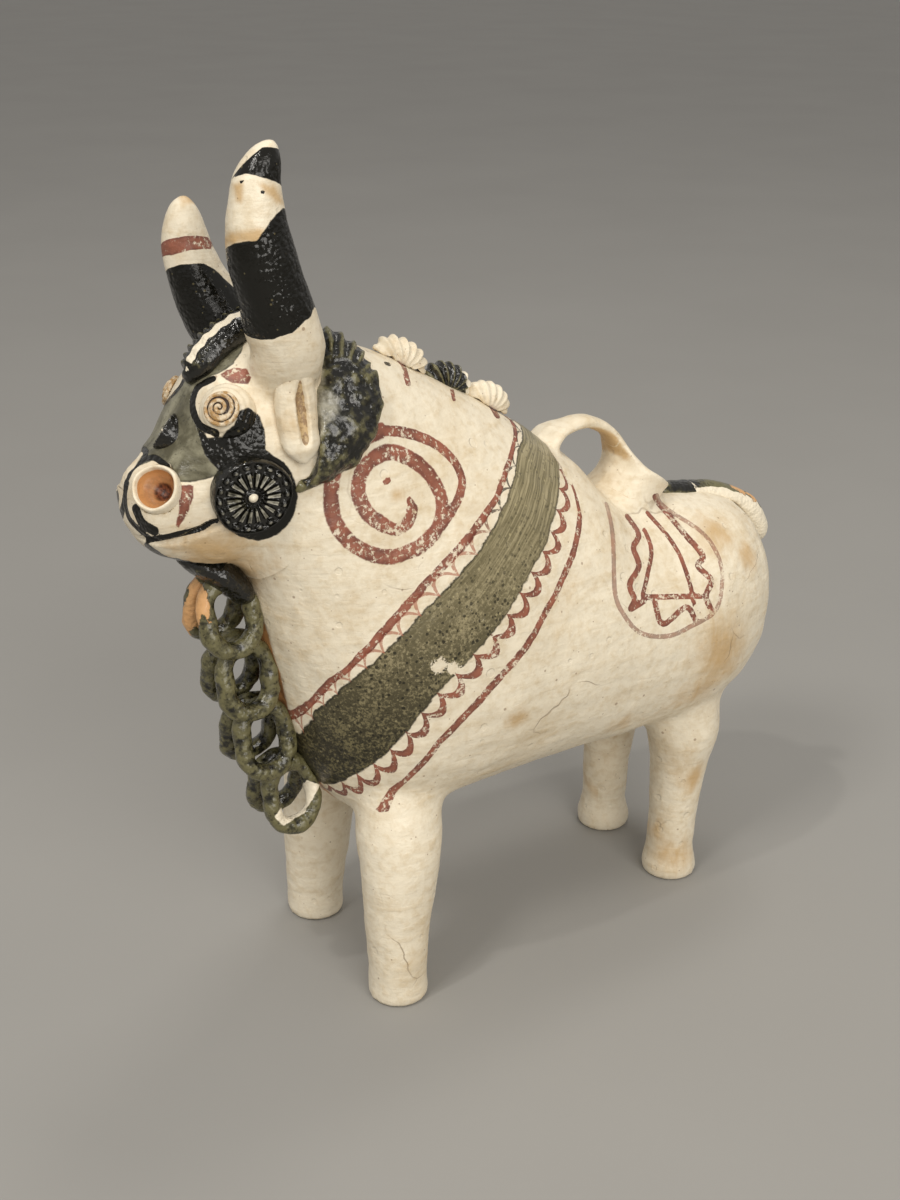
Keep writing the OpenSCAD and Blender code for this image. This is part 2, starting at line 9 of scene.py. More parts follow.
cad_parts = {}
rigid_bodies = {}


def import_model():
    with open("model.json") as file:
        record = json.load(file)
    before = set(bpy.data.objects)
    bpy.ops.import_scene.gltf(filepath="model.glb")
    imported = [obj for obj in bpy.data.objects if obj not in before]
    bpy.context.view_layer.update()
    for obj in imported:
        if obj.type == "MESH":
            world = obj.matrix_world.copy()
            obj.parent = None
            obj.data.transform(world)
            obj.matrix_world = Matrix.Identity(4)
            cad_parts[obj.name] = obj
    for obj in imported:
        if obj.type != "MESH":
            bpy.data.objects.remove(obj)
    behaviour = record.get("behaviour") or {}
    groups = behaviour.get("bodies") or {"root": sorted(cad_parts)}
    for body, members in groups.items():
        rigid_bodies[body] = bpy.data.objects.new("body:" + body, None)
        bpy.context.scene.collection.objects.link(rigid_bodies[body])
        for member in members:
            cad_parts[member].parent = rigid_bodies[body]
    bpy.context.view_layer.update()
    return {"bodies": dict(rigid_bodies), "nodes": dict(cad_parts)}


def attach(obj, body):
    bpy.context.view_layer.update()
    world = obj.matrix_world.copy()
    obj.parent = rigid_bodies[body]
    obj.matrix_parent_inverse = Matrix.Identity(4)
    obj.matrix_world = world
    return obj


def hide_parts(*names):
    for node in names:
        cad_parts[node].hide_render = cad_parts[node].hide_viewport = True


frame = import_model()

bl_info = {
    "name": "Clay bull vessel",
    "version": (1, 0, 0),
    "blender": (4, 5, 0),
    "location": "3D View > Sidebar > Clay bull",
    "description": "Builds the slip, paint and glaze of a clay bull vessel around its packed model",
    "category": "Object",
}

MM = 0.001


def tone(red, green, blue):
    """A colour of 0 to 255 as seen on a screen, in the linear values that a shader takes."""
    return tuple(c / 3294.6 if c <= 10 else ((c / 255 + 0.055) / 1.055) ** 2.4 for c in (red, green, blue))


def colour(name, description, *rgb):
    """A colour setting."""
    return bpy.props.FloatVectorProperty(
        name=name, description=description, default=tone(*rgb), subtype="COLOR", size=3, min=0, max=1)


def length(name, description, mm):
    """A length setting, given in millimetres."""
    return bpy.props.FloatProperty(name=name, description=description, default=mm * MM, unit="LENGTH", min=0)


class BullSizes(bpy.types.PropertyGroup):
    """Sizes of the surface work."""

    skin_grain: length("Skin mesh", "Edge length of the mesh of the body's skin", 1.1)
    trim_grain: length("Trim mesh", "Edge length of the mesh of the luted pieces", 0.5)
    dent_span: length("Dent span", "Width of the dents that the hands left in the body", 26)
    dent_depth: length("Dent depth", "Depth of the dents that the hands left in the body", 0.9)
    mouth_depth: length("Mouth depth", "Depth of the slit of the mouth", 2.2)


class BullColours(bpy.types.PropertyGroup):
    """Colours of the slip, the paints and the glazes."""

    cream: colour("Slip", "Cream slip of the body", 236, 225, 202)
    shade: colour("Thin slip", "Slip where the clay shows through it", 206, 185, 149)
    ochre: colour("Stain", "Ochre stains on the slip", 194, 156, 98)
    clay: colour("Clay", "Bare fired clay", 206, 150, 96)
    red: colour("Red paint", "Red-brown paint of the lines", 142, 74, 54)
    olive: colour("Band", "Dark green band of the collar", 92, 85, 56)
    glaze: colour("Glaze", "Black-green glaze where it is thick", 18, 17, 12)
    thin_glaze: colour("Thin glaze", "Glaze where it is thin", 106, 101, 68)


def sizes():
    """The size settings."""
    return bpy.context.scene.bull_sizes


def colours():
    """The colour settings."""
    return bpy.context.scene.bull_colours


# Working on a mesh

def only(*objs):
    """Selects these objects alone and makes the first one active."""
    bpy.ops.object.select_all(action="DESELECT")
    for obj in objs:
        obj.select_set(True)
    bpy.context.view_layer.objects.active = objs[0]


def clay_copy(name, *nodes):
    """One mesh with the shape of these nodes."""
    parts = []
    for node in nodes:
        part = bpy.data.objects.new(name, frame["nodes"][node].data.copy())
        part.data.materials.clear()
        bpy.context.collection.objects.link(part)
        only(part)
        bpy.ops.object.mode_set(mode="EDIT")
        bpy.ops.mesh.select_all(action="SELECT")
        bpy.ops.mesh.remove_doubles(threshold=1e-6)
        bpy.ops.object.mode_set(mode="OBJECT")
        parts.append(part)
    only(*parts)
    if len(parts) > 1:
        bpy.ops.object.join()
    return parts[0]


def apply(obj, kind, **settings):
    """Applies one modifier."""
    only(obj)
    modifier = obj.modifiers.new(kind, kind)
    for key, value in settings.items():
        setattr(modifier, key, value)
    bpy.ops.object.modifier_apply(modifier=modifier.name)


def kneaded(obj, grain, turns):
    """Fills the mesh with even faces of one size and softens its edges."""
    apply(obj, "REMESH", mode="VOXEL", voxel_size=grain, use_smooth_shade=True)
    if turns:
        apply(obj, "SMOOTH", factor=0.5, iterations=turns)


def dented(obj, span, depth, group=""):
    """Pushes wide shallow dents and bulges into the surface."""
    texture = bpy.data.textures.new("dents", "CLOUDS")
    texture.noise_scale = span
    texture.noise_depth = 1
    apply(obj, "DISPLACE", texture=texture, texture_coords="LOCAL", strength=2 * depth, mid_level=0.45,
          vertex_group=group)
    bpy.data.textures.remove(texture)


def points_of(obj):
    """The mesh's points in millimetres."""
    points = np.empty(3 * len(obj.data.vertices))
    obj.data.vertices.foreach_get("co", points)
    return points.reshape(-1, 3) / MM


def normals_of(obj):
    """The outward directions at the mesh's points."""
    normals = np.empty(3 * len(obj.data.vertices), np.float32)
    obj.data.vertex_normals.foreach_get("vector", normals)
    return normals.reshape(-1, 3).astype(float)


def move_to(obj, points):
    """Moves the mesh's points to these places in millimetres."""
    obj.data.vertices.foreach_set("co", (points * MM).ravel())
    obj.data.update()


def tell(obj, name, values):
    """Stores a value at each point for the materials to read."""
    layer = obj.data.attributes.get(name) or obj.data.attributes.new(name, "FLOAT", "POINT")
    layer.data.foreach_set("value", np.asarray(values, np.float32))


def weigh(obj, name, weights):
    """A vertex group with these weights."""
    group = obj.vertex_groups.new(name=name)
    steps = np.round(np.clip(weights, 0, 1) * 20).astype(int)
    for step in range(1, 21):
        picked = np.nonzero(steps == step)[0]
        if len(picked):
            group.add(picked.tolist(), step / 20, "REPLACE")


def cut(obj, point, normal):
    """Cuts a closed piece along a plane into the part in front of it and the part behind, both closed."""
    front = bpy.data.objects.new(obj.name, obj.data.copy())
    bpy.context.collection.objects.link(front)
    for piece, gone in ((front, "clear_inner"), (obj, "clear_outer")):
        only(piece)
        bpy.ops.object.mode_set(mode="EDIT")
        bpy.ops.mesh.select_all(action="SELECT")
        bpy.ops.mesh.bisect(plane_co=Vector(point) * MM, plane_no=normal, use_fill=True, **{gone: True})
        bpy.ops.object.mode_set(mode="OBJECT")
    return front, obj


def part_off(obj, outline, half):
    """Cuts off what lies inside an upright outline, along and up, to this far on both sides of the middle."""
    ring = [(x, y, z) for x in (-half, half) for y, z in outline]
    count = len(outline)
    sides = [(i, (i + 1) % count, (i + 1) % count + count, i + count) for i in range(count)]
    cutter = bpy.data.objects.new("cutter", bpy.data.meshes.new("cutter"))
    ends = [tuple(range(count)), tuple(range(count, 2 * count))]
    cutter.data.from_pydata([Vector(v) * MM for v in ring], [], sides + ends)
    bpy.context.collection.objects.link(cutter)
    only(cutter)
    bpy.ops.object.mode_set(mode="EDIT")
    bpy.ops.mesh.select_all(action="SELECT")
    bpy.ops.mesh.normals_make_consistent(inside=False)
    bpy.ops.object.mode_set(mode="OBJECT")
    off = bpy.data.objects.new(obj.name, obj.data.copy())
    bpy.context.collection.objects.link(off)
    apply(off, "BOOLEAN", operation="INTERSECT", object=cutter, solver="EXACT")
    apply(obj, "BOOLEAN", operation="DIFFERENCE", object=cutter, solver="EXACT")
    bpy.data.objects.remove(cutter)
    return off, obj


def loose_parts(obj):
    """The separate lumps of a mesh, the largest first."""
    only(obj)
    bpy.ops.object.mode_set(mode="EDIT")
    bpy.ops.mesh.select_all(action="SELECT")
    bpy.ops.mesh.separate(type="LOOSE")
    bpy.ops.object.mode_set(mode="OBJECT")
    return sorted(bpy.context.selected_objects, key=lambda o: -len(o.data.vertices))


def swollen(obj, amount):
    """Moves the whole surface out by this many millimetres."""
    move_to(obj, points_of(obj) + normals_of(obj) * amount)


def rises(obj, turns):
    """How far each point stands above its smoothed surroundings, as a share of the highest ones."""
    points = points_of(obj)
    edges = np.empty(2 * len(obj.data.edges), int)
    obj.data.edges.foreach_get("vertices", edges)
    a, b = edges.reshape(-1, 2).T
    ends = np.concatenate([a, b])
    others = np.concatenate([b, a])
    count = np.maximum(np.bincount(ends, minlength=len(points)), 1)
    soft = points.copy()
    for _ in range(turns):
        mean = [np.bincount(ends, soft[others, axis], len(points)) / count for axis in range(3)]
        soft = 0.4 * soft + 0.6 * np.stack(mean, 1)
    rise = ((points - soft) * normals_of(obj)).sum(1)
    return np.clip(rise / max(np.percentile(np.abs(rise), 93), 1e-6), -1, 1)


def tell_rises(obj, turns):
    """Stores the ridges and the hollows of a piece."""
    rise = rises(obj, turns)
    tell(obj, "ridge", np.clip(rise, 0, 1))
    tell(obj, "hollow", np.clip(-rise, 0, 1))


def eased(values, low, high):
    """0 below low and 1 above high with a soft step between."""
    t = np.clip((values - low) / (high - low), 0, 1)
    return t * t * (3 - 2 * t)


def fanned(obj, middle, along, up, count, depth, inner, outer, first=-20, last=200):
    """Presses comb grooves into a flap, like the ribs of a fan that opens from its middle."""
    along, up = Vector(along).normalized(), Vector(up).normalized()
    points = points_of(obj)
    from_middle = points - np.array(middle)
    a, b = from_middle @ np.array(along), from_middle @ np.array(up)
    angle = np.degrees(np.arctan2(b, a))
    turn = np.mod(angle - first, 360)
    open_part = eased(turn, 0, 8) * (1 - eased(turn, last - first - 8, last - first))
    wave = 0.5 - 0.5 * np.cos(2 * math.pi * count * turn / (last - first))
    press = depth * wave ** 0.7 * open_part * eased(np.hypot(a, b), inner, outer)
    move_to(obj, points - normals_of(obj) * press[:, None])


def luted(name, node, turns, swell, dent, fine=1.0):
    """A copy of one piece with soft hand-made edges, pressed on so that it sits in the skin below."""
    obj = clay_copy(name, node)
    kneaded(obj, fine * sizes().trim_grain, turns)
    dented(obj, 7 * MM, dent * MM)
    swollen(obj, swell)
    return obj


def upright(place, normal):
    """The matrix that stands a piece on the skin with its top towards the bull's back."""
    z = Vector(normal).normalized()
    y = (Vector((0, 0, 1)) - z * z.z).normalized()
    turn = Matrix((y.cross(z), y, z)).transposed().to_4x4()
    return Matrix.Translation(Vector(place) * MM) @ turn


def turned(name, profile, sides):
    """A closed round piece from its profile, places out and up in millimetres from the middle of its top down."""
    bpy.ops.object.select_all(action="DESELECT")
    bpy.ops.mesh.primitive_circle_add(vertices=sides, radius=profile[0][0] * MM, fill_type="TRIFAN")
    obj = bpy.context.object
    obj.name = name
    bpy.ops.object.mode_set(mode="EDIT")
    bpy.ops.mesh.select_mode(type="EDGE")
    bpy.ops.mesh.select_all(action="SELECT")
    bpy.ops.transform.translate(value=(0, 0, profile[0][1] * MM))
    bpy.ops.mesh.select_all(action="DESELECT")
    bpy.ops.mesh.select_non_manifold()
    for (out, up), (next_out, next_up) in zip(profile[:-1], profile[1:]):
        bpy.ops.mesh.extrude_edges_move()
        bpy.ops.transform.resize(value=(next_out / out, next_out / out, 1), center_override=(0, 0, up * MM))
        bpy.ops.transform.translate(value=(0, 0, (next_up - up) * MM))
    bpy.ops.mesh.edge_face_add()
    bpy.ops.mesh.select_all(action="SELECT")
    bpy.ops.mesh.normals_make_consistent(inside=False)
    bpy.ops.object.mode_set(mode="OBJECT")
    return obj


def settle(obj, name, material, slot, *nodes):
    """Names a finished piece and puts it in the place of its nodes."""
    obj.name = obj.data.name = name
    obj.data.materials.clear()
    obj.data.materials.append(material)
    obj.vertex_groups.clear()
    only(obj)
    bpy.ops.object.shade_smooth_by_angle(angle=math.radians(55))
    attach(obj, "root")
    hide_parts(*nodes)
    return obj


# Lines and places of the paint, in millimetres on the bull's left side

LINE_STEPS = 6


def smooth_line(points):
    """More points on a smooth curve through these."""
    p = np.array(points, float)
    p = np.vstack([2 * p[0] - p[1], p, 2 * p[-1] - p[-2]])
    t = np.linspace(0, 1, LINE_STEPS, endpoint=False)[:, None]
    runs = []
    for a, b, c, d in zip(p[:-3], p[1:-2], p[2:-1], p[3:]):
        runs.append(0.5 * (2 * b + (c - a) * t + (2 * a - 5 * b + 4 * c - d) * t ** 2
                           + (3 * b - a - 3 * c + d) * t ** 3))
    return np.vstack(runs + [p[-2:-1]])


def away(points, line):
    """Distance of each point from a line of points."""
    best = np.full(len(points), 1e9)
    for a, b in zip(line[:-1], line[1:]):
        run = b - a
        t = np.clip((points - a) @ run / max(run @ run, 1e-9), 0, 1)
        best = np.minimum(best, np.linalg.norm(points - a - t[:, None] * run, axis=1))
    return best


def reach(points, strokes):
    """2 on the middle of a brush stroke, 1 at its edge and less farther out."""
    best = np.full(len(points), -9.0)
    for half, line in strokes:
        best = np.maximum(best, 2 - away(points, smooth_line(line)) / half)
    return best


# The collar turns about this place along and up. Across it, in millimetres from behind it, lie its rear line, the tips
# of its scallops, the edges of its band and its front line
COLLAR_AXIS = (150.7, -43.4)
REAR_LINE, SCALLOP_TIPS, BAND_REAR, BAND_FRONT, FRONT_LINE = 10, 17.4, 21.2, 42.4, 45.9
COLLAR_LINES = (
    (REAR_LINE, ((-57.9, 67.9), (-53.1, 72.9), (-46.7, 84.6), (-38.2, 98.3), (-24.3, 111.9), (-8.2, 125), (6.1, 138.8),
                 (16.9, 149.7), (23.7, 157.6), (26.4, 170.6))),
    (SCALLOP_TIPS, ((-61.6, 73.3), (-51.6, 90.7), (-40.8, 108.9), (-24.1, 124.6), (-5.5, 139.5), (10.3, 153.8),
                    (19.6, 162.9), (24.9, 169.6))),
    (BAND_REAR, ((-63.7, 75.6), (-60.7, 84.1), (-52.2, 97.6), (-41, 115.5), (-29.8, 125.6), (-16, 136.4),
                 (-4.4, 146.8), (7, 155.6), (14.2, 162.7), (21.4, 169.8))),
    (BAND_FRONT, ((-71.6, 96.6), (-70.5, 109.1), (-63.5, 124), (-54.9, 133.5), (-45.5, 142.5), (-33.7, 151.7),
                  (-24.9, 157.5), (-13.9, 165.9), (-5.2, 172.8), (4.1, 181.2), (13.6, 183.7))),
    (FRONT_LINE, ((-73.5, 101.9), (-68.5, 121), (-56.2, 139.2), (-42.8, 152.4), (-25.3, 164.3), (-12, 171.8),
                  (-4.3, 177.9), (11, 185.9))),
)
# Brush strokes, each with half its width: the spiral along and up, the saddle across, along and up
SPIRAL = (
    (1.5, ((-34, 168.6), (-28.8, 172.8), (-25.1, 176.4), (-23.3, 179.9), (-24.8, 185.3), (-30.5, 191.1), (-40.3, 196.1),
           (-49.1, 198.4))),
    (2.3, ((-49.1, 198.4), (-58.2, 196.8), (-65.3, 190.9), (-67.5, 183.8), (-67.2, 175), (-62.8, 167.7), (-54.3, 162.7),
           (-45.4, 163.2), (-38.3, 166.1), (-33.3, 171.6), (-32.8, 178), (-36.1, 185), (-43.1, 190.5), (-49.8, 192.2),
           (-56.5, 189.6), (-59.5, 183.6), (-57.9, 176.8), (-53.2, 172.1))),
    (1.9, ((-53.2, 172.1), (-49, 170.1), (-45, 171.8), (-43, 175.1))),
    (1.1, ((-43, 175.1), (-43.5, 177.7))),
    (0.9, ((-50.6, 184.2), (-49.6, 184.7))),
)
SADDLE = (
    (0.8, ((18, 42, 155), (28, 37, 148), (38, 31, 133), (41, 33, 125), (42, 40, 117), (42, 52, 113), (41.5, 63, 114),
            (40.5, 73, 116), (38, 78, 122), (33, 81, 130), (25, 80, 138), (14, 73, 145), (5, 73.5, 147))),
    (1.05, ((17, 52, 148), (23.5, 52, 143.6), (29, 45.5, 142), (33, 45, 137), (37, 38, 133.4), (38.8, 39, 128.4),
           (40, 36.5, 126), (38.7, 43, 126.7))),
    (0.8, ((21, 56.5, 143.5), (27.6, 54.4, 139), (33.7, 48.4, 134), (38, 43, 128.6))),
    (0.8, ((14, 63, 146), (23, 64, 141.6), (29.7, 65, 136), (36, 65, 127.4), (39.3, 64.7, 121))),
    (1.1, ((6.5, 71.5, 147.4), (16, 70.7, 145), (24, 71.4, 140.4), (31, 74.6, 133.5), (33, 71, 131), (36, 74.7, 126),
           (38.4, 70.7, 122), (40, 72, 117))),
    (0.95, ((38, 43.5, 127.8), (38.4, 68, 122.5))),
    (1, ((38, 48, 126), (40.8, 50, 117.4), (39.6, 61, 120.5), (40.9, 64.7, 115))),
)
# The outline along and up that parts strap and spout from the trunk, and the slit of the mouth
GRIP_ROOT = ((25, 178.9), (46, 163.5), (46, 160), (56, 152.3), (81.5, 148.8), (81.5, 195), (25, 195))
MOUTH = ((0, -119, 171), (6, -118, 172), (9.5, -115.9, 173), (13.5, -109.2, 174.8), (16.9, -102.2, 177.5),
         (18.6, -98.8, 178.8))


# Outlines of painted and glazed fields, in millimetres to the right and up on a sheet that is held square to
# a look from the bull's front left, with its middle in the look through the bull's middle
LOOK = Vector((415.4, -265.7, 218.5)).normalized()
SHEET_MIDDLE = (-1.8, -7.55, 124.1)
FACE_GLAZE = (
    ((-58.7, 82.2), (-57.8, 77.6), (-59, 71), (-61.3, 66.7), (-65, 64.1), (-67.4, 63.4), (-72.3, 61), (-73, 56.8),
     (-71.4, 50.5), (-68.6, 46.1), (-64.6, 41), (-65.3, 34.9), (-71.5, 33.2), (-76.3, 33.2), (-79.1, 38.4),
     (-83.9, 40.1), (-89.6, 37.9), (-98.4, 37.1), (-97, 48.5), (-90.9, 56.8), (-85.4, 65.5), (-77.9, 76.5),
     (-64.7, 87.7)),
)
# The first field is the black cheek patch round the rosette; where it reaches up under the eye's ball, it is painted
# shadow of the ball
BLACK_FIELDS = (
    ((-71.7, 49.4), (-68, 45.5), (-63.9, 45.7), (-60, 48.8), (-58.9, 52.4), (-56.1, 53.6), (-53.7, 52), (-52.1, 47.8),
     (-51.9, 42.3), (-46.9, 38.9), (-45.1, 36.2), (-44.1, 33), (-43.8, 29.8), (-44.4, 26.6), (-45.6, 23.7),
     (-47.6, 21.2), (-50.1, 19.1), (-53.1, 17.8), (-55.7, 17.3), (-58.4, 17.5), (-60.8, 18.3), (-62.9, 19.6),
     (-65.3, 23.9), (-66.4, 29.7), (-65.2, 36.6), (-68.8, 40.7)),
    ((-61.6, -16.6), (-57.2, -38), (-54.1, -47), (-48.9, -62.6), (-46, -60), (-50.9, -48.3), (-56.2, -36.7),
     (-58.3, -21.6)),
    ((-78.9, 9.1), (-74.4, 7.3), (-65.3, 6.7), (-60.7, 5.5), (-59.1, 1.2), (-63.9, -5), (-67.4, -1.3), (-81.8, 0)),
)
# The fifth stroke, along the jaw's underside, is painted shade in black
BLACK_STROKES = (
    (0.8, ((-92.3, 33.4), (-93.2, 28.7), (-91.9, 23.4), (-87.5, 18.9), (-85.4, 17.4))),
    (1.4, ((-89.2, 25.9), (-87.3, 21.6), (-83.9, 19.6))),
    (0.7, ((-86.9, 17.2), (-81.2, 17.9), (-77.4, 18.8), (-71.8, 20.3), (-69.1, 21.7))),
    (0.55, ((-68.2, 22.3), (-66.2, 22.8))),
    (1.2, ((-87.5, 15.4), (-82.9, 11.6), (-77.1, 9), (-72.7, 7.3))),
    (0.9, ((-93, 33.4), (-90.1, 38.4), (-84.9, 40.7), (-79.9, 37.8))),
    (1, ((-67, 62.5), (-71.9, 60), (-72.9, 54.7), (-70.4, 49.3), (-65.4, 46.6))),
    (0.7, ((-19.1, 71), (-18.4, 70.8))),
)
RED_FIELDS = (
    ((-65, 63.8), (-61, 65.8), (-57, 65.1), (-55.7, 62.5), (-56.8, 60.7), (-61.6, 61)),
    ((-76.3, 32.4), (-72.1, 32.4), (-72.2, 29.1), (-74.2, 24.3), (-77, 20.4), (-77.7, 21), (-76.2, 26.2),
     (-76.6, 30.1)),
)
RED_STROKES = (
    (0.8, ((-18.9, 75.4), (-15.8, 73.6), (-14, 70.5), (-12.6, 65))),
    (0.6, ((0.6, 65.6), (1.2, 61.9))),
    (0.95, ((10.5, 67.1), (12.4, 64.3), (15, 58.5))),
)
HORN_DARK = {
    "left": (((-57.8, 110.7), (-53.2, 114.7), (-49.1, 118.3), (-41.8, 118.8), (-41.2, 109.1), (-49, 110.2),
              (-53.1, 111.2)),
             ((-64, 93.7), (-50.6, 94.4), (-47.7, 98.6), (-43.8, 104.3), (-36, 106), (-33, 88), (-36.6, 82.2),
              (-38, 77), (-42.6, 72.3), (-48.2, 70.6), (-53.5, 70.8), (-57, 72.5), (-62, 77), (-68, 88))),
    "right": (((-89.6, 95.3), (-79.5, 96.8), (-71.4, 97.6), (-68.5, 96.3), (-58, 87.1), (-60.9, 60), (-85, 60)),),
}
HORN_TAN = {
    "left": (((-62.9, 97.2), (-49.3, 97.2), (-49.4, 93.8), (-63, 93.8)),
             ((-51, 109), (-46, 109), (-43.5, 105), (-45.5, 104), (-49, 107)),
             ((-57, 109), (-54, 109), (-54, 104), (-56, 104))),
    "right": (((-80.6, 119.4), (-70.8, 120), (-72.8, 114.8), (-77.1, 113.6)),),
}
HORN_RED = {"left": (), "right": (((-86.6, 103.6), (-69.5, 105.8), (-69.5, 102.2), (-80.2, 99.8), (-86.6, 100.4)),)}
# Two small holes in the left horn, painted as black dots: painted shade inside the holes
HORN_HOLES = ((0.5, ((-54.6, 109.2), (-54.3, 109.2))), (0.5, ((-49.1, 106.6), (-48.8, 106.6))))
RUFF_THIN = (((-41.2, 73), (-34.9, 71), (-34.5, 61.3), (-30.5, 58.4), (-29.9, 52.4), (-33.8, 48.9), (-36.3, 42),
              (-37.8, 33.7), (-42.9, 37.2), (-42.8, 57)),)
# How green the glaze of each loop is from the top one down, and where the loops are chipped or bare of glaze
LOOP_OLIVE = (0.5, 0.36, 0.26, 0.34)
LOOP_CHIPS = (((-77.8, 7.5), (-73.3, 3.3), (-71.3, -1.9), (-72.6, -6.3), (-71.9, -6.6), (-74.2, -4.2), (-75.5, -7.8),
               (-80.3, -9.5), (-78.5, -14.5), (-83.1, -13.9), (-84.6, -8.6), (-80.7, -1.5)),)
LOOP_CREAM = (((-56.8, -70.4), (-52.9, -64.6), (-50.3, -62.7), (-46.7, -58.7), (-42.4, -60.4), (-47.5, -69.4),
               (-53.8, -73.2)),)
# Tan fields of the slip: under the jaw, where the tan is painted shade of its underside, and on the hind foot
TAN_FIELDS = (
    ((-84.6, 15.4), (-69.8, 20.8), (-62.4, 17.8), (-55.8, 8.3), (-57.9, 2), (-66.8, 6), (-75.7, 8)),
    ((73.2, -83.5), (76.8, -83), (78.2, -80.6), (79.8, -80.8), (80.1, -85), (79.2, -90.5), (75.8, -89.8),
     (73.2, -87.5)),
)
# Stains: how far each reaches and where it is. The ones under the mouth and the jaw also stand for the shade of the
# jaw's underside: painted shade
STAINS = (
    (17, (41, 77, 100)), (13, (41, 73, 84)), (9, (26, 86, 139)), (6, (30, 94, 128)), (8, (40, 72, 74)),
    (5, (17.7, -76, 217)), (15, (18, -98, 167)), (8, (12, -106, 167)), (2.6, (31.7, -47.4, 180)), (9, (26, 76, 10)),
    (7, (31, -50, 10)), (10, (14, -90, 160)), (6, (30, 78, 44)), (5, (44, -10, 100)), (8, (38, 40, 78)),
    (6, (24, -75, 205)), (7, (20, 84, 22)), (8, (-24, 70, 30)),
)
# The glazed root of the right horn
FAR_HORN_ROOT = ((12, (-20, -79, 229)),)
# Where the collar's band has worn off
WORN = ((3.2, (41.6, -39.3, 125.9)), (2.6, (42.6, -34.8, 124.1)), (2.2, (43.2, -32.1, 122.2)))


def mirrored(points):
    """The same places on the bull's left side."""
    return np.column_stack([np.abs(points[:, 0]), points[:, 1:]])


def on_sheet(points):
    """Where points fall on the sheet."""
    right = Vector((0, 0, 1)).cross(LOOK).normalized()
    from_middle = points - np.array(SHEET_MIDDLE)
    return np.column_stack([from_middle @ np.array(right), from_middle @ np.array(LOOK.cross(right))])


def within(places, edge):
    """How far each place is inside a closed edge, and below 0 outside it."""
    ring = np.array([*edge, edge[0]], float)
    crossings = np.zeros(len(places), int)
    for a, b in zip(ring[:-1], ring[1:]):
        spans = (a[1] > places[:, 1]) != (b[1] > places[:, 1])
        rise = b[1] - a[1] if b[1] != a[1] else 1e-9
        crossings += spans & (places[:, 0] < a[0] + (places[:, 1] - a[1]) * (b[0] - a[0]) / rise)
    return np.where(crossings % 2 == 1, 1, -1) * away(places, ring)


def field(places, edges, soft=2):
    """2 well inside a field, 1 on its edge and 0 well outside."""
    best = np.zeros(len(places))
    for edge in edges:
        best = np.maximum(best, 1 + within(places, edge) / soft)
    return np.clip(best, 0, 2)


def blobs(points, spots):
    """1 in the middle of round spots, 0 at their edge and less farther out."""
    best = np.full(len(points), -9.0)
    for size, middle in spots:
        best = np.maximum(best, 1 - np.linalg.norm(points - middle, axis=1) / size)
    return best


def facing(points, normals):
    """1 where the surface, put on the left side, faces the look."""
    turned = np.column_stack([normals[:, 0] * np.where(points[:, 0] < 0, -1, 1), normals[:, 1:]])
    return (turned @ np.array(LOOK) > -0.1).astype(float)


def collar_place(points):
    """How far each point is across the collar, in millimetres from behind it, and how far round the bull."""
    y, z = points[:, 1] - COLLAR_AXIS[0], points[:, 2] - COLLAR_AXIS[1]
    angle, out = np.arctan2(z, y), np.hypot(y, z)
    knots, places = [], []
    for place, line in COLLAR_LINES:
        line = np.array(line) - COLLAR_AXIS
        order = np.argsort(np.arctan2(line[:, 1], line[:, 0]))
        bends = np.arctan2(line[:, 1], line[:, 0])[order]
        knots.append(np.interp(angle, bends, np.hypot(line[:, 0], line[:, 1])[order]))
        places.append(place)
    across = np.clip(places[0] - (knots[0] - out), 0, places[0])
    for low, high, a, b in zip(knots[:-1], knots[1:], places[:-1], places[1:]):
        share = np.clip((out - low) / np.maximum(high - low, 0.5), 0, 1)
        across = np.where(out > low, a + (b - a) * share, across)
    across = np.where(out > knots[-1], places[-1] + np.minimum(out - knots[-1], 20), across)
    up = (points[:, 1] + 18) * 0.66 + (points[:, 2] - 123) * 0.75
    turn = np.arctan2(points[:, 0] / 44, up / 68)
    steps = np.linspace(-math.pi, math.pi, 721)
    run = np.hypot(44 * np.cos(steps), 68 * np.sin(steps)) * (steps[1] - steps[0])
    return across, np.interp(turn, steps, np.cumsum(run))


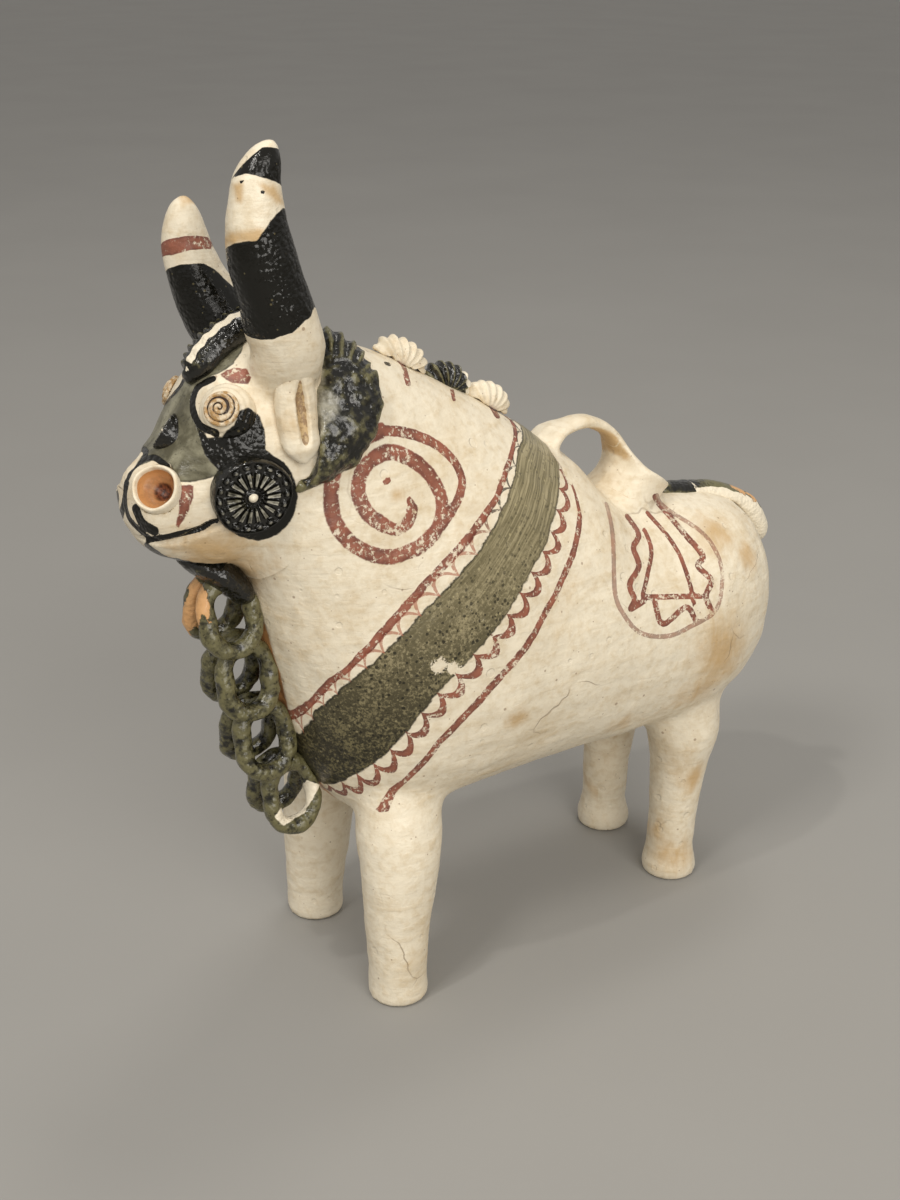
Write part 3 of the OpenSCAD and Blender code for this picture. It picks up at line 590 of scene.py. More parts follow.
def paint(obj, collar=True):
    """Stores where the painted lines, the collar, the glazed fields and the stains fall on a slip-coated piece, with
    black and tan laid as painted shade under the jaw and black as painted shadow under the eyes.
    """
    points = points_of(obj)
    normals = normals_of(obj)
    near = mirrored(points)
    front = facing(points, normals)
    places = on_sheet(near)
    saddle = [(half, on_sheet(np.array(line))) for half, line in SADDLE]
    red = np.where((points[:, 1] > 20) & (front > 0) & (points[:, 2] > 100), reach(places, saddle), -3)
    red = np.maximum(red, np.where(near[:, 0] > 14, reach(near[:, 1:], SPIRAL), -3))
    red = np.maximum(red, np.where(front > 0, np.maximum(field(places, RED_FIELDS), reach(places, RED_STROKES)), -3))
    tell(obj, "red_line", np.clip(red, -3, 2))
    tell(obj, "faint", (reach(places, saddle[:1]) > np.maximum(reach(places, saddle[1:]), 0.5)) & (points[:, 1] > 20))
    black = np.maximum(field(places, BLACK_FIELDS), reach(places, BLACK_STROKES))
    # Painted shade: black on the jaw's underside, where it faces down
    under = (points[:, 1] < -93) & (points[:, 2] > 140) & (points[:, 2] < 176)
    black = np.maximum(black, np.where(under, np.clip(1 - 5 * (normals[:, 2] + 0.8), -3, 2), -3))
    black = np.where((front > 0) | under, np.clip(black, -3, 2), -3)
    tell(obj, "black_line", np.maximum(black, np.clip(1 + blobs(points, FAR_HORN_ROOT) * 6, -3, 2)))
    tell(obj, "face_glaze", front * field(places, FACE_GLAZE))
    if collar:
        across, along = collar_place(points)
        across = np.where((points[:, 1] > 24.5) & (points[:, 2] > 166), 0, across)
        tell(obj, "collar_across", across)
        tell(obj, "collar_along", along)
        tell(obj, "worn", np.clip(blobs(near, WORN), -1, 1))
    # Real stains, and the tan under the jaw, which is painted shade
    stains = np.clip(blobs(near, [(1.6 * size, middle) for size, middle in STAINS]), 0, 1)
    tell(obj, "stain", np.maximum(stains, 0.5 * front * field(places, TAN_FIELDS, 4)))
    chest = np.clip((9 - near[:, 0]) / 4, 0, 1) * (points[:, 1] < -50) * np.clip((150 - points[:, 2]) / 6, 0, 1)
    tell(obj, "bare", chest * (normals[:, 1] < -0.3))


# Wiring materials

class Wires:
    """Adds and joins the nodes of one tree."""

    def __init__(self, tree):
        self.tree = tree

    def node(self, kind, **settings):
        """Adds a node."""
        made = self.tree.nodes.new("ShaderNode" + kind)
        for key, value in settings.items():
            setattr(made, key, value)
        return made

    def put(self, socket, value):
        """Gives a socket a link, a colour or a number."""
        if isinstance(value, bpy.types.NodeSocket):
            self.tree.links.new(value, socket)
        else:
            is_colour = socket.type == "RGBA" and len(value) == 3
            socket.default_value = (*value, 1) if is_colour else value

    def math(self, operation, *values):
        """Reckons with one or two values."""
        made = self.node("Math", operation=operation)
        for socket, value in zip(made.inputs, values):
            self.put(socket, value)
        return made.outputs[0]

    def plus(self, a, b):
        """The sum of two values."""
        return self.math("ADD", a, b)

    def minus(self, a, b):
        """What is left of a when b is taken off."""
        return self.math("SUBTRACT", a, b)

    def times(self, a, b):
        """The product of two values."""
        return self.math("MULTIPLY", a, b)

    def larger(self, a, b):
        """The larger of two values."""
        return self.math("MAXIMUM", a, b)

    def sway(self, value, width):
        """A value of 0 to 1 as a rise and fall round 0."""
        return self.times(self.minus(value, 0.5), width)

    def step(self, value, low, high, to_low=0.0, to_high=1.0):
        """A soft step from to_low to to_high where the value goes from low to high."""
        made = self.node("MapRange", interpolation_type="SMOOTHSTEP")
        for socket, number in zip(made.inputs, (value, low, high, to_low, to_high)):
            self.put(socket, number)
        return made.outputs[0]

    def mix(self, share, a, b):
        """Lays colour b over colour a by a share."""
        made = self.node("Mix", data_type="RGBA")
        self.put(made.inputs[0], share)
        self.put(made.inputs[6], a)
        self.put(made.inputs[7], b)
        return made.outputs[2]

    def place(self):
        """Where the surface is, in metres in the bull's frame."""
        return self.node("TexCoord").outputs["Object"]

    def stretched(self, scale):
        """The place with its axes scaled."""
        made = self.node("Mapping")
        self.put(made.inputs["Vector"], self.place())
        made.inputs["Scale"].default_value = scale
        return made.outputs[0]

    def noise(self, per_metre, detail=3.0, rough=0.5, twist=0.0, vector=None):
        """Cloudy values of 0 to 1."""
        made = self.node("TexNoise")
        self.put(made.inputs["Vector"], vector or self.place())
        made.inputs["Scale"].default_value = per_metre
        made.inputs["Detail"].default_value = detail
        made.inputs["Roughness"].default_value = rough
        made.inputs["Distortion"].default_value = twist
        return made.outputs[0]

    def wander(self, per_metre, far):
        """A small step in a direction that changes from place to place."""
        made = self.node("TexNoise")
        self.put(made.inputs["Vector"], self.place())
        made.inputs["Scale"].default_value = per_metre
        even = self.node("VectorMath", operation="SUBTRACT")
        self.put(even.inputs[0], made.outputs["Color"])
        even.inputs[1].default_value = (0.5, 0.5, 0.5)
        short = self.node("VectorMath", operation="SCALE")
        self.put(short.inputs[0], even.outputs[0])
        short.inputs["Scale"].default_value = far
        return short.outputs[0]

    def dots(self, per_metre, size, share, vector=None):
        """Round dots in some of the cells of a loose grid."""
        made = self.node("TexVoronoi")
        self.put(made.inputs["Vector"], vector or self.place())
        made.inputs["Scale"].default_value = per_metre
        cell = self.node("SeparateColor")
        self.put(cell.inputs[0], made.outputs["Color"])
        kept = self.math("LESS_THAN", cell.outputs[0], share)
        spread = self.times(cell.outputs[1], size)
        return self.times(kept, self.step(self.minus(made.outputs["Distance"], spread), 0, 0.06, 1, 0))

    def stored(self, name):
        """A value that was stored at the mesh's points."""
        return self.node("Attribute", attribute_name=name).outputs["Fac"]

    def group(self, tree, **values):
        """Places a shared effect with these values and gives its outputs."""
        made = self.node("Group", node_tree=tree)
        for key, value in values.items():
            self.put(made.inputs[key.replace("_", " ").capitalize()], value)
        return made.outputs


def effect(name, inputs, outputs, wire):
    """A shared shader effect as a node group, built once."""
    if name in bpy.data.node_groups:
        return bpy.data.node_groups[name]
    tree = bpy.data.node_groups.new(name, "ShaderNodeTree")
    for label, default in inputs:
        tree.interface.new_socket(label, in_out="INPUT", socket_type="NodeSocketFloat").default_value = default
    for label in outputs:
        tree.interface.new_socket(label, in_out="OUTPUT", socket_type="NodeSocketFloat")
    wires = Wires(tree)
    given = tree.nodes.new("NodeGroupInput").outputs
    made = tree.nodes.new("NodeGroupOutput").inputs
    for socket, value in zip(made, wire(wires, given)):
        wires.put(socket, value)
    return tree


def slip_wash():
    """Uneven slip: how thin it lies, where it is stained, its specks and cracks and its brushed surface."""
    def wire(w, given):
        broad = w.noise(30, 5, 0.6, 0.5)
        fine = w.noise(330, 5, 0.65)
        brushed = w.noise(60, 4, 0.6, 0.4, w.stretched((1, 1, 4)))
        thin = w.plus(w.step(broad, 0.44, 0.68, 0, 0.32), w.step(fine, 0.42, 0.7, 0, 0.4))
        thin = w.math("MINIMUM", w.plus(thin, w.step(brushed, 0.48, 0.7, 0, 0.3)), 1)
        stain = w.times(w.step(w.noise(21, 5, 0.6, 0.8), 0.58, 0.76), w.step(fine, 0.3, 0.6, 0.4, 1))
        specks = w.larger(w.dots(250, 0.12, 0.2), w.dots(600, 0.16, 0.12))
        net = w.node("TexVoronoi", feature="DISTANCE_TO_EDGE")
        bent = w.node("VectorMath")
        w.put(bent.inputs[0], w.place())
        w.put(bent.inputs[1], w.wander(70, 0.012))
        w.put(net.inputs["Vector"], bent.outputs[0])
        net.inputs["Scale"].default_value = 38
        cracks = w.times(w.step(net.outputs[0], 0.002, 0.014, 1, 0), w.step(w.noise(26, 3), 0.55, 0.68))
        pits = w.larger(w.dots(140, 0.2, 0.35), w.dots(75, 0.22, 0.25, w.stretched((1, 1, 0.35))))
        height = w.plus(w.times(fine, 0.9), w.times(brushed, 1.3))
        height = w.plus(height, w.times(w.noise(120, 3, 0.6), 1.4))
        height = w.minus(height, w.times(w.plus(pits, cracks), 0.6))
        return thin, stain, specks, cracks, height
    return effect("Slip wash", (), ("Thin", "Stain", "Specks", "Cracks", "Height"), wire)


def brush_paint():
    """Dry brushed paint: where it covers, from how far it reaches past its edge at 1."""
    def wire(w, given):
        edge = w.plus(given[0], w.sway(w.noise(420, 3, 0.6), 0.45))
        body = w.step(edge, 0.9, 1.12)
        dry = w.plus(w.noise(620, 4, 0.75), w.sway(w.noise(45, 2), 0.3))
        worn = w.step(w.minus(dry, given[1]), 0, 0.1, 0.1, 1)
        return (w.times(body, worn),)
    return effect("Brush paint", (("Reach", 0.0), ("Wear", 0.4)), ("Cover",), wire)


def glaze_run():
    """Runny glaze: where it lies thin, its pale flecks and its ripples. Ridges of the form let it thin out."""
    def wire(w, given):
        pool = w.noise(150, 5, 0.65, 0.6)
        fine = w.noise(800, 3, 0.65)
        thin = w.plus(w.times(given[0], 0.9), w.step(pool, 0.5, 0.78, 0, 0.6))
        thin = w.step(w.times(w.plus(thin, given[1]), w.step(fine, 0.25, 0.6, 0.5, 1)), 0.2, 0.95)
        flecks = w.dots(520, 0.22, 0.2)
        lumps = w.node("TexVoronoi", feature="SMOOTH_F1")
        w.put(lumps.inputs["Vector"], w.place())
        lumps.inputs["Scale"].default_value = 760
        lumps.inputs["Smoothness"].default_value = 0.7
        height = w.plus(w.times(pool, 1.2), w.times(fine, 0.25))
        height = w.minus(height, w.times(lumps.outputs[0], w.step(w.noise(60, 3), 0.36, 0.56, 0.3, 1.2)))
        return thin, flecks, height
    return effect("Glaze run", (("Ridge", 0.0), ("Thinner", 0.0)), ("Thin", "Flecks", "Height"), wire)


def new_material(name):
    """An empty material, its wires and its shader."""
    made = bpy.data.materials.new(name)
    made.use_nodes = True
    made.node_tree.nodes.clear()
    w = Wires(made.node_tree)
    shader = w.node("BsdfPrincipled")
    out = w.node("OutputMaterial")
    w.put(out.inputs["Surface"], shader.outputs[0])
    return made, w, shader


def bumped(w, shader, height, distance):
    """Feeds a height to the shader as a bump of this many millimetres."""
    bump = w.node("Bump")
    bump.inputs["Distance"].default_value = distance * MM
    bump.inputs["Strength"].default_value = 1
    w.put(bump.inputs["Height"], height)
    w.put(shader.inputs["Normal"], bump.outputs[0])


def glaze_look(w, ridge, thinner):
    """The colour, roughness and height of the dark glaze."""
    c = colours()
    run = w.group(glaze_run(), ridge=ridge, thinner=thinner)
    base = w.mix(run["Thin"], c.glaze, c.thin_glaze)
    base = w.mix(w.times(run["Flecks"], 0.3), base, tone(150, 138, 100))
    return base, w.step(run["Thin"], 0, 1, 0.13, 0.36), run["Height"]


def slip_ground(w, c, wash, grain, blotch):
    """The slip's colour with its stains, specks and cracks, browner hollows, and the bare clay where there is none.
    Among the stains is painted shade under the jaw and the handle, and the clay is darkened as painted shade in the
    nostrils' holes.
    """
    base = w.mix(wash["Thin"], c.cream, c.shade)
    base = w.mix(w.times(wash["Stain"], 0.35), base, c.ochre)
    smear = w.noise(75, 5, 0.65, 0.8, w.stretched((1, 1, 0.45)))
    stain = w.plus(w.stored("stain"), w.sway(smear, 1.7))
    base = w.mix(w.times(w.step(stain, 0.2, 1.1, 0, 0.75), w.step(w.stored("stain"), 0, 0.3)), base, c.ochre)
    # Browner in the hollows of the form, such as the ears' grooves and the tufts' combing
    lines = w.plus(w.stored("hollow"), w.sway(w.noise(520, 3, 0.7), 1.3))
    hollow_brown = w.mix(w.step(w.noise(700, 3, 0.7), 0.42, 0.58), tone(132, 98, 60), tone(190, 160, 112))
    base = w.mix(w.times(w.step(lines, 0.4, 0.75, 0, 0.85), w.step(w.stored("hollow"), 0.1, 0.3)), base, hollow_brown)
    base = w.mix(w.times(wash["Specks"], 0.55), base, tone(120, 82, 52))
    base = w.mix(w.times(wash["Cracks"], 0.5), base, tone(132, 104, 74))
    clay = w.mix(w.step(blotch, 0.32, 0.6), tone(122, 76, 44), c.clay)
    # Painted shade: the clay is darkened deep in the nostrils' holes
    clay = w.mix(w.stored("deep"), clay, w.mix(w.step(grain, 0.4, 0.6), tone(62, 30, 18), tone(118, 66, 40)))
    bare = w.step(w.plus(w.stored("bare"), w.sway(blotch, 0.8)), 0.35, 0.6)
    return w.mix(bare, base, clay)


def collar_band(w, c, grain, blotch, height, exact, along, across):
    """Where the collar's band covers, and its colour: dark and speckled low down, grey and streaked high up."""
    high = w.step(height, 0.125, 0.172)
    up = w.step(height, 0.08, 0.172)
    band = w.times(w.step(across, BAND_REAR - 0.3, BAND_REAR + 0.3),
                   w.step(across, BAND_FRONT - 0.3, BAND_FRONT + 0.2, 1, 0))
    worn = w.plus(w.stored("worn"), w.sway(grain, 1.6))
    band = w.times(band, w.step(worn, 0.1, 0.3, 1, 0))
    run = w.node("CombineXYZ")
    w.put(run.inputs[0], w.times(along, 0.045))
    w.put(run.inputs[1], exact)
    hairs = w.noise(1.3, 3, 0.6, 0.2, run.outputs[0])
    patchy = w.plus(w.times(w.noise(860, 5, 0.8), 0.75), w.times(blotch, 0.25))
    pattern = w.plus(w.times(w.step(patchy, 0.48, 0.57), w.minus(1, high)), w.times(w.step(hairs, 0.38, 0.7), high))
    olive = w.mix(pattern, w.mix(up, w.mix(0.12, c.glaze, c.olive), tone(116, 107, 78)),
                  w.mix(up, w.mix(0.1, c.olive, tone(168, 156, 116)), tone(172, 160, 126)))
    olive = w.mix(w.times(w.dots(800, 0.5, 0.5), w.step(high, 0, 1, 0.8, 0.35)), olive, tone(24, 22, 13))
    olive = w.mix(w.times(w.dots(640, 0.3, 0.25), w.step(up, 0, 1, 0.35, 0.7)), olive, tone(176, 164, 124))
    rim = w.larger(w.step(across, BAND_REAR - 0.3, BAND_REAR + 1, 1, 0),
                   w.step(across, BAND_FRONT - 1, BAND_FRONT - 0.1))
    return band, w.mix(w.times(rim, 0.8), olive, tone(26, 23, 15))


def collar_strokes(w, height, along, across):
    """The reach of the small arcs before the band, and of the collar's red lines and scallops."""
    def line(middle, half):
        return w.minus(2, w.math("DIVIDE", w.math("ABSOLUTE", w.minus(across, middle)), half))

    def lobes(span, start, rise):
        wave = w.math("ABSOLUTE", w.math("SINE", w.times(along, math.pi / span)))
        return w.plus(start, w.times(w.math("POWER", wave, 0.7), rise))

    arcs = line(lobes(9, BAND_FRONT - 0.2, 3.2), 0.6)
    lines = w.larger(line(REAR_LINE, 1.2), line(lobes(8.2, BAND_REAR - 0.8, -4), 1.35))
    lines = w.larger(lines, line(FRONT_LINE, 1.05))
    return arcs, w.minus(lines, w.step(height, 0.0695, 0.073, 6, 0))


def slip_material():
    """Cream slip with the collar, the red lines, the face's glaze and the black lines painted on it, and with painted
    shade: black and tan under the jaw, black under the eyes' balls, tan under the handle and dark clay in the nostrils'
    holes.
    """
    if "Painted slip" in bpy.data.materials:
        return bpy.data.materials["Painted slip"]
    c = colours()
    made, w, shader = new_material("Painted slip")
    wash = w.group(slip_wash())
    grain = w.noise(900, 3, 0.7)
    blotch = w.noise(90, 4, 0.6, 0.4)
    base = slip_ground(w, c, wash, grain, blotch)

    place = w.node("SeparateXYZ")
    w.put(place.inputs[0], w.place())
    height = place.outputs[2]
    exact, along = w.stored("collar_across"), w.stored("collar_along")
    ragged = w.sway(w.noise(260, 4, 0.65), 2.2)
    band, olive = collar_band(w, c, grain, blotch, height, exact, along, w.plus(exact, ragged))
    base = w.mix(w.times(band, w.step(grain, 0.2, 0.34, 0.8, 1)), base, olive)

    arcs, lines = collar_strokes(w, height, along, w.plus(exact, w.times(ragged, 0.35)))
    arcs = w.group(brush_paint(), reach=arcs, wear=0.36)["Cover"]
    top = w.step(height, 0.16, 0.17)
    base = w.mix(w.times(arcs, w.step(top, 0, 1, 0.75, 0.85)), base, w.mix(top, tone(172, 106, 82), tone(58, 50, 40)))
    lines = w.larger(lines, w.stored("red_line"))
    cover = w.group(brush_paint(), reach=lines, wear=0.37)["Cover"]
    cover = w.times(cover, w.step(w.stored("faint"), 0, 1, 0.95, 0.65))
    red = w.mix(w.step(w.noise(190, 3, 0.6), 0.35, 0.65), tone(100, 42, 30), c.red)
    red = w.mix(w.step(lines, 1.2, 1.8, 0, 0.3), red, tone(170, 104, 78))
    base = w.mix(cover, base, red)

    face = w.group(brush_paint(), reach=w.stored("face_glaze"), wear=0.12)["Cover"]
    green = w.mix(w.step(blotch, 0.36, 0.62), tone(84, 80, 62), tone(142, 138, 116))
    green = w.mix(w.step(grain, 0.56, 0.72, 0, 0.7), green, tone(44, 42, 32))
    green = w.mix(w.step(w.stored("face_glaze"), 1, 1.35, 0.75, 0), green, tone(40, 38, 26))
    base = w.mix(face, base, green)
    black = w.group(brush_paint(), reach=w.stored("black_line"), wear=0.12)["Cover"]
    glaze, gloss, ripples = glaze_look(w, 0, -0.3)
    w.put(shader.inputs["Base Color"], w.mix(black, base, glaze))

    clear = w.minus(1, black)
    rough = w.minus(w.step(wash["Thin"], 0, 1, 0.36, 0.54), w.times(band, 0.08))
    rough = w.step(face, 0, 1, rough, 0.26)
    w.put(shader.inputs["Roughness"], w.plus(w.times(rough, clear), w.times(gloss, black)))
    shader.inputs["Specular IOR Level"].default_value = 0.38
    relief = w.plus(wash["Height"], w.times(w.plus(band, w.plus(cover, face)), 0.25))
    ripples = w.times(w.plus(ripples, 0.8), 1.1)
    bumped(w, shader, w.plus(w.times(relief, clear), w.times(ripples, black)), 0.3)
    return made


def dark_material():
    """Glossy black-green glaze, thin and grey on some fields, chipped to the clay or worn to the slip on others, and
    pale grey as painted highlights on the rosettes' petals and beads.
    """
    if "Dark glaze" in bpy.data.materials:
        return bpy.data.materials["Dark glaze"]
    c = colours()
    made, w, shader = new_material("Dark glaze")
    blotch = w.noise(140, 4, 0.6, 0.4)
    fine = w.sway(w.noise(420, 3, 0.6), 0.9)
    base, gloss, height = glaze_look(w, w.stored("ridge"), w.times(w.stored("olive"), 0.8))
    # Pale grey where the thinner value is high: thin glaze on the ruffs, and painted highlights on the rosettes' petals
    # and beads
    thin = w.step(w.plus(w.stored("thinner"), fine), 0.8, 1.5)
    grey = w.mix(w.step(blotch, 0.36, 0.6), tone(112, 108, 92), tone(184, 180, 164))
    base = w.mix(w.times(thin, 0.85), base, grey)
    slip = w.step(w.plus(w.stored("worn"), fine), 0.9, 1.1)
    base = w.mix(slip, base, c.cream)
    chip = w.step(w.plus(w.stored("chip"), w.times(fine, 2)), 0.9, 1.1)
    base = w.mix(chip, base, w.mix(blotch, c.clay, tone(222, 178, 122)))
    dull = w.larger(chip, slip)
    w.put(shader.inputs["Base Color"], base)
    rough = w.larger(w.times(dull, 0.55), w.times(thin, 0.3))
    w.put(shader.inputs["Roughness"], w.larger(gloss, rough))
    shader.inputs["Coat Weight"].default_value = 0.25
    shader.inputs["Coat Roughness"].default_value = 0.1
    bumped(w, shader, w.minus(height, w.times(chip, 1.2)), 0.36)
    return made


def pellet_material():
    """Ochre pellet with dark paint in its carved lines."""
    c = colours()
    made, w, shader = new_material("Carved pellet")
    rough = w.noise(520, 4, 0.7)
    base = w.mix(w.step(rough, 0.4, 0.62), w.mix(0.3, c.ochre, tone(120, 78, 46)), w.mix(0.7, c.ochre, c.cream))
    lines = w.plus(w.stored("hollow"), w.sway(rough, 1.6))
    base = w.mix(w.step(lines, 0.25, 0.7), base, tone(50, 31, 20))
    w.put(shader.inputs["Base Color"], base)
    shader.inputs["Roughness"].default_value = 0.34
    bumped(w, shader, w.noise(700, 4, 0.7), 0.5)
    return made


# Pieces

# Places on the skin of the left side and the ways out of it there
EYE_SEAT = ((17.09, -94.6, 206.85), (0.671, -0.603, 0.431))
CHEEK_SEAT = ((22.46, -90.08, 185.58), (0.972, -0.178, -0.152))
NOSE_SEAT = ((0.6, -104.4, 200.1), (-0.47, -0.69, 0.55))
NOSTRIL_SEAT = ((11.22, -114.59, 189.15), (0.497, -0.651, 0.574))


def on_side(seat, side):
    """A place and its way out on the left or the right side."""
    flip = Vector((1 if side == "left" else -1, 1, 1))
    return Vector(seat[0]) * flip, (Vector(seat[1]) * flip).normalized()


def seen_from(points, place, normal):
    """Points in the frame of a place on the skin: across, up and out, in millimetres."""
    frame_of = upright(place, normal).to_3x3()
    return (points - np.array(place)) @ np.array(frame_of)


def finer(obj, chosen):
    """Splits the chosen faces once, for finer lines."""
    only(obj)
    middles = np.empty(3 * len(obj.data.polygons))
    obj.data.polygons.foreach_get("center", middles)
    bpy.ops.object.mode_set(mode="EDIT")
    bpy.ops.mesh.select_mode(type="FACE")
    bpy.ops.mesh.select_all(action="DESELECT")
    bpy.ops.object.mode_set(mode="OBJECT")
    obj.data.polygons.foreach_set("select", chosen(middles.reshape(-1, 3) / MM))
    bpy.ops.object.mode_set(mode="EDIT")
    bpy.ops.mesh.subdivide(number_cuts=1, smoothness=0)
    bpy.ops.object.mode_set(mode="OBJECT")


# Round places on the head: how far each reaches and where it is
TEMPLE_DENT = ((6, (18.5, -76, 217.5)),)
JOWL = ((21, (9, -97, 165)), (15, (11, -88, 160)))
JOWL_DROP = 3.8


def carve_face(head):
    """Cuts the mouth's slit, the nostrils' hollows and the temples' dents into the head and fills out its jowl."""
    finer(head, lambda at: (at[:, 1] < -84) & (at[:, 2] > 160) & (at[:, 2] < 226))
    points = points_of(head)
    near = mirrored(points)
    slit = np.clip(1 - away(near, smooth_line(MOUTH)) / 1.5, 0, 1) ** 0.8 * sizes().mouth_depth / MM
    dent = 0.9 * np.clip(blobs(near, TEMPLE_DENT), 0, 1)
    normals = normals_of(head)
    jowl = np.clip(blobs(near, JOWL), 0, 1) ** 0.6 * eased(-normals[:, 2], -0.25, 0.5)
    points = points - normals * np.maximum(slit, dent)[:, None] - np.outer(JOWL_DROP * jowl, (0, 0, 1))
    for side in ("left", "right"):
        place, out = on_side(NOSTRIL_SEAT, side)
        local = seen_from(points, place, out)
        inside = (1 - eased(np.hypot(local[:, 0], local[:, 1]), 6.2, 7.4)) * (local[:, 2] > -9)
        sink = np.maximum(local[:, 2] + 7, 0) * inside
        points = points - np.array(out) * sink[:, None]
    move_to(head, points)


# How the horns are drawn thinner and bent: height, share of the thickness and shift across the look
HORNS_FROM = 213
HORN_DRAWN = {
    "left": ((HORNS_FROM, 1, 0), (226, 0.9, 2.9), (240, 0.87, 2.4), (250, 0.88, 1), (262, 0.88, 0), (273, 0.88, 0.3),
             (284, 0.95, 2)),
    "right": ((HORNS_FROM, 1, 0), (226, 0.96, 0), (240, 0.9, -0.4), (252, 0.83, -1.2), (268, 0.8, -1.3),
              (284, 0.8, -0.6)),
}


def draw_horns(skin):
    """Draws each horn thinner and bends it in its own way."""
    points = points_of(skin)
    across = np.array(Vector((0, 0, 1)).cross(LOOK).normalized())
    moved = points.copy()
    for side, flip in (("left", 1), ("right", -1)):
        mine = (points[:, 2] > HORNS_FROM) & (flip * points[:, 0] > 0)
        levels = np.arange(236, 282, 4)
        middles = [points[mine & (np.abs(points[:, 2] - level) < 2.5)].mean(0) for level in levels]
        middles = np.array([middles[0] * 3.5 - middles[2] * 2.5, *middles])
        high, share, shift = np.array(HORN_DRAWN[side]).T
        z = points[mine, 2]
        middle = np.stack([np.interp(z, [216, *levels], middles[:, axis]) for axis in (0, 1)], 1)
        arm = points[mine, :2] - middle
        near = np.where(z > 234, 1, 1 - eased(np.linalg.norm(arm, axis=1), 13, 21))[:, None]
        step = arm * (np.interp(z, high, share) - 1)[:, None] + across[:2] * np.interp(z, high, shift)[:, None]
        moved[mine, :2] += near * step
    move_to(skin, moved)


# Heights on the legs and how much fuller the forelegs are there, and where the rump is filled out
LEG_FILL = ((2, 8, 16, 34, 50, 70), (0, 0.7, 1.5, 1.7, 1.1, 0))
RUMP = ((34, (20, 106, 134)),)
RUMP_FILL = 3


def fill_out(skin):
    """Softens the roots of the legs and fills out the legs and the rump."""
    up = points_of(skin)[:, 2]
    weigh(skin, "roots", eased(up, 46, 58) * (1 - eased(up, 72, 84)))
    apply(skin, "SMOOTH", factor=0.5, iterations=110, vertex_group="roots")
    points = points_of(skin)
    full = np.interp(points[:, 2], *LEG_FILL) * np.where(points[:, 1] < 0, 1, 0.75)
    move_to(skin, points + full[:, None] * normals_of(skin) * (1, 1, 0))
    points = points_of(skin)
    rump = RUMP_FILL * np.clip(blobs(mirrored(points), RUMP), 0, 1) ** 0.8
    move_to(skin, points + normals_of(skin) * rump[:, None])


def paint_horn(horn, side):
    """Stores where the glaze, the red ring and the bare tips fall on a horn."""
    places = on_sheet(points_of(horn))
    dark = field(places, HORN_DARK[side], 1.2)
    # The left horn's two holes are painted black as painted shade
    tell(horn, "black_line", np.maximum(dark, reach(places, HORN_HOLES)) if side == "left" else dark)
    tell(horn, "red_line", field(places, HORN_RED[side], 1.2))
    tell(horn, "stain", 0.5 * field(places, HORN_TAN[side], 1.2))


# Planes that part the skin into its pieces: a point and the way to the piece in front
FEET_CUT = ((0, 0, 58), (0, 0, 1))
NECK_CUT = ((0, -63.45, 72), (0, 103, -91))
HEAD_CUT = ((0, -85.9, 155.2), (0, 64.15, -40.25))
HORN_CUT = ((0, 0, 231), (0, 0, 1))
SPOUT_CUT = ((0, 56.5, 160), (0, 1, 0))


class BULL_OT_body(bpy.types.Operator):
    """Makes the slip-coated body with its legs, horns, handle and spout"""

    bl_idname = "bull.body"
    bl_label = "Body"

    def execute(self, context):
        s = sizes()
        slip = slip_material()
        trunk_nodes = ("trunk_shell", "rump_shell", "shoulder_shell")
        skin = clay_copy("skin", *trunk_nodes, "neck_shell", "head_shell", "lower_jaw", "front_left_leg",
                         "front_right_leg", "hind_left_leg", "hind_right_leg", "horn_left", "horn_right",
                         "handle_strap", "spout")
        kneaded(skin, s.skin_grain, 0)
        weigh(skin, "free", (points_of(skin)[:, 2] - 1.2) / 5)
        apply(skin, "SMOOTH", factor=0.5, iterations=14, vertex_group="free")
        fill_out(skin)
        draw_horns(skin)
        dented(skin, s.dent_span, s.dent_depth, "free")
        dented(skin, 0.2 * s.dent_span, 0.2 * s.dent_depth, "free")
        skin, feet = cut(skin, *FEET_CUT)
        trunk, neck = cut(skin, *NECK_CUT)
        grip, trunk = part_off(trunk, GRIP_ROOT, 24)
        spout, strap = cut(grip, *SPOUT_CUT)
        neck, head = cut(neck, *HEAD_CUT)
        horns, head = cut(head, *HORN_CUT)
        for foot in loose_parts(feet):
            middle = points_of(foot).mean(0)
            leg = f"{'front' if middle[1] < 0 else 'hind'}_{'left' if middle[0] > 0 else 'right'}_leg"
            paint(foot, collar=False)
            settle(foot, leg + "_skin", slip, "slip_body", leg)
        for horn in loose_parts(horns):
            side = "left" if points_of(horn)[:, 0].mean() > 0 else "right"
            paint_horn(horn, side)
            settle(horn, f"horn_{side}_skin", slip, "horn_glaze", f"horn_{side}")
        carve_face(head)
        for piece in (trunk, neck, head):
            paint(piece)
        for piece in (strap, spout):
            paint(piece, collar=False)
            # Painted shade: tan under the handle's arch, where the strap and the spout face down or forward
            normals = normals_of(piece)
            tell(piece, "stain", np.clip(0.9 - 3 * np.maximum(normals[:, 2] + 0.15, normals[:, 1] + 0.35), 0, 0.9))
        settle(trunk, "trunk_skin", slip, "slip_body", *trunk_nodes)
        settle(neck, "neck_skin", slip, "slip_body", "neck_shell")
        settle(head, "head_skin", slip, "slip_body", "head_shell", "lower_jaw")
        settle(strap, "handle_skin", slip, "slip_body", "handle_strap")
        settle(spout, "spout_skin", slip, "slip_body", "spout")
        return {"FINISHED"}


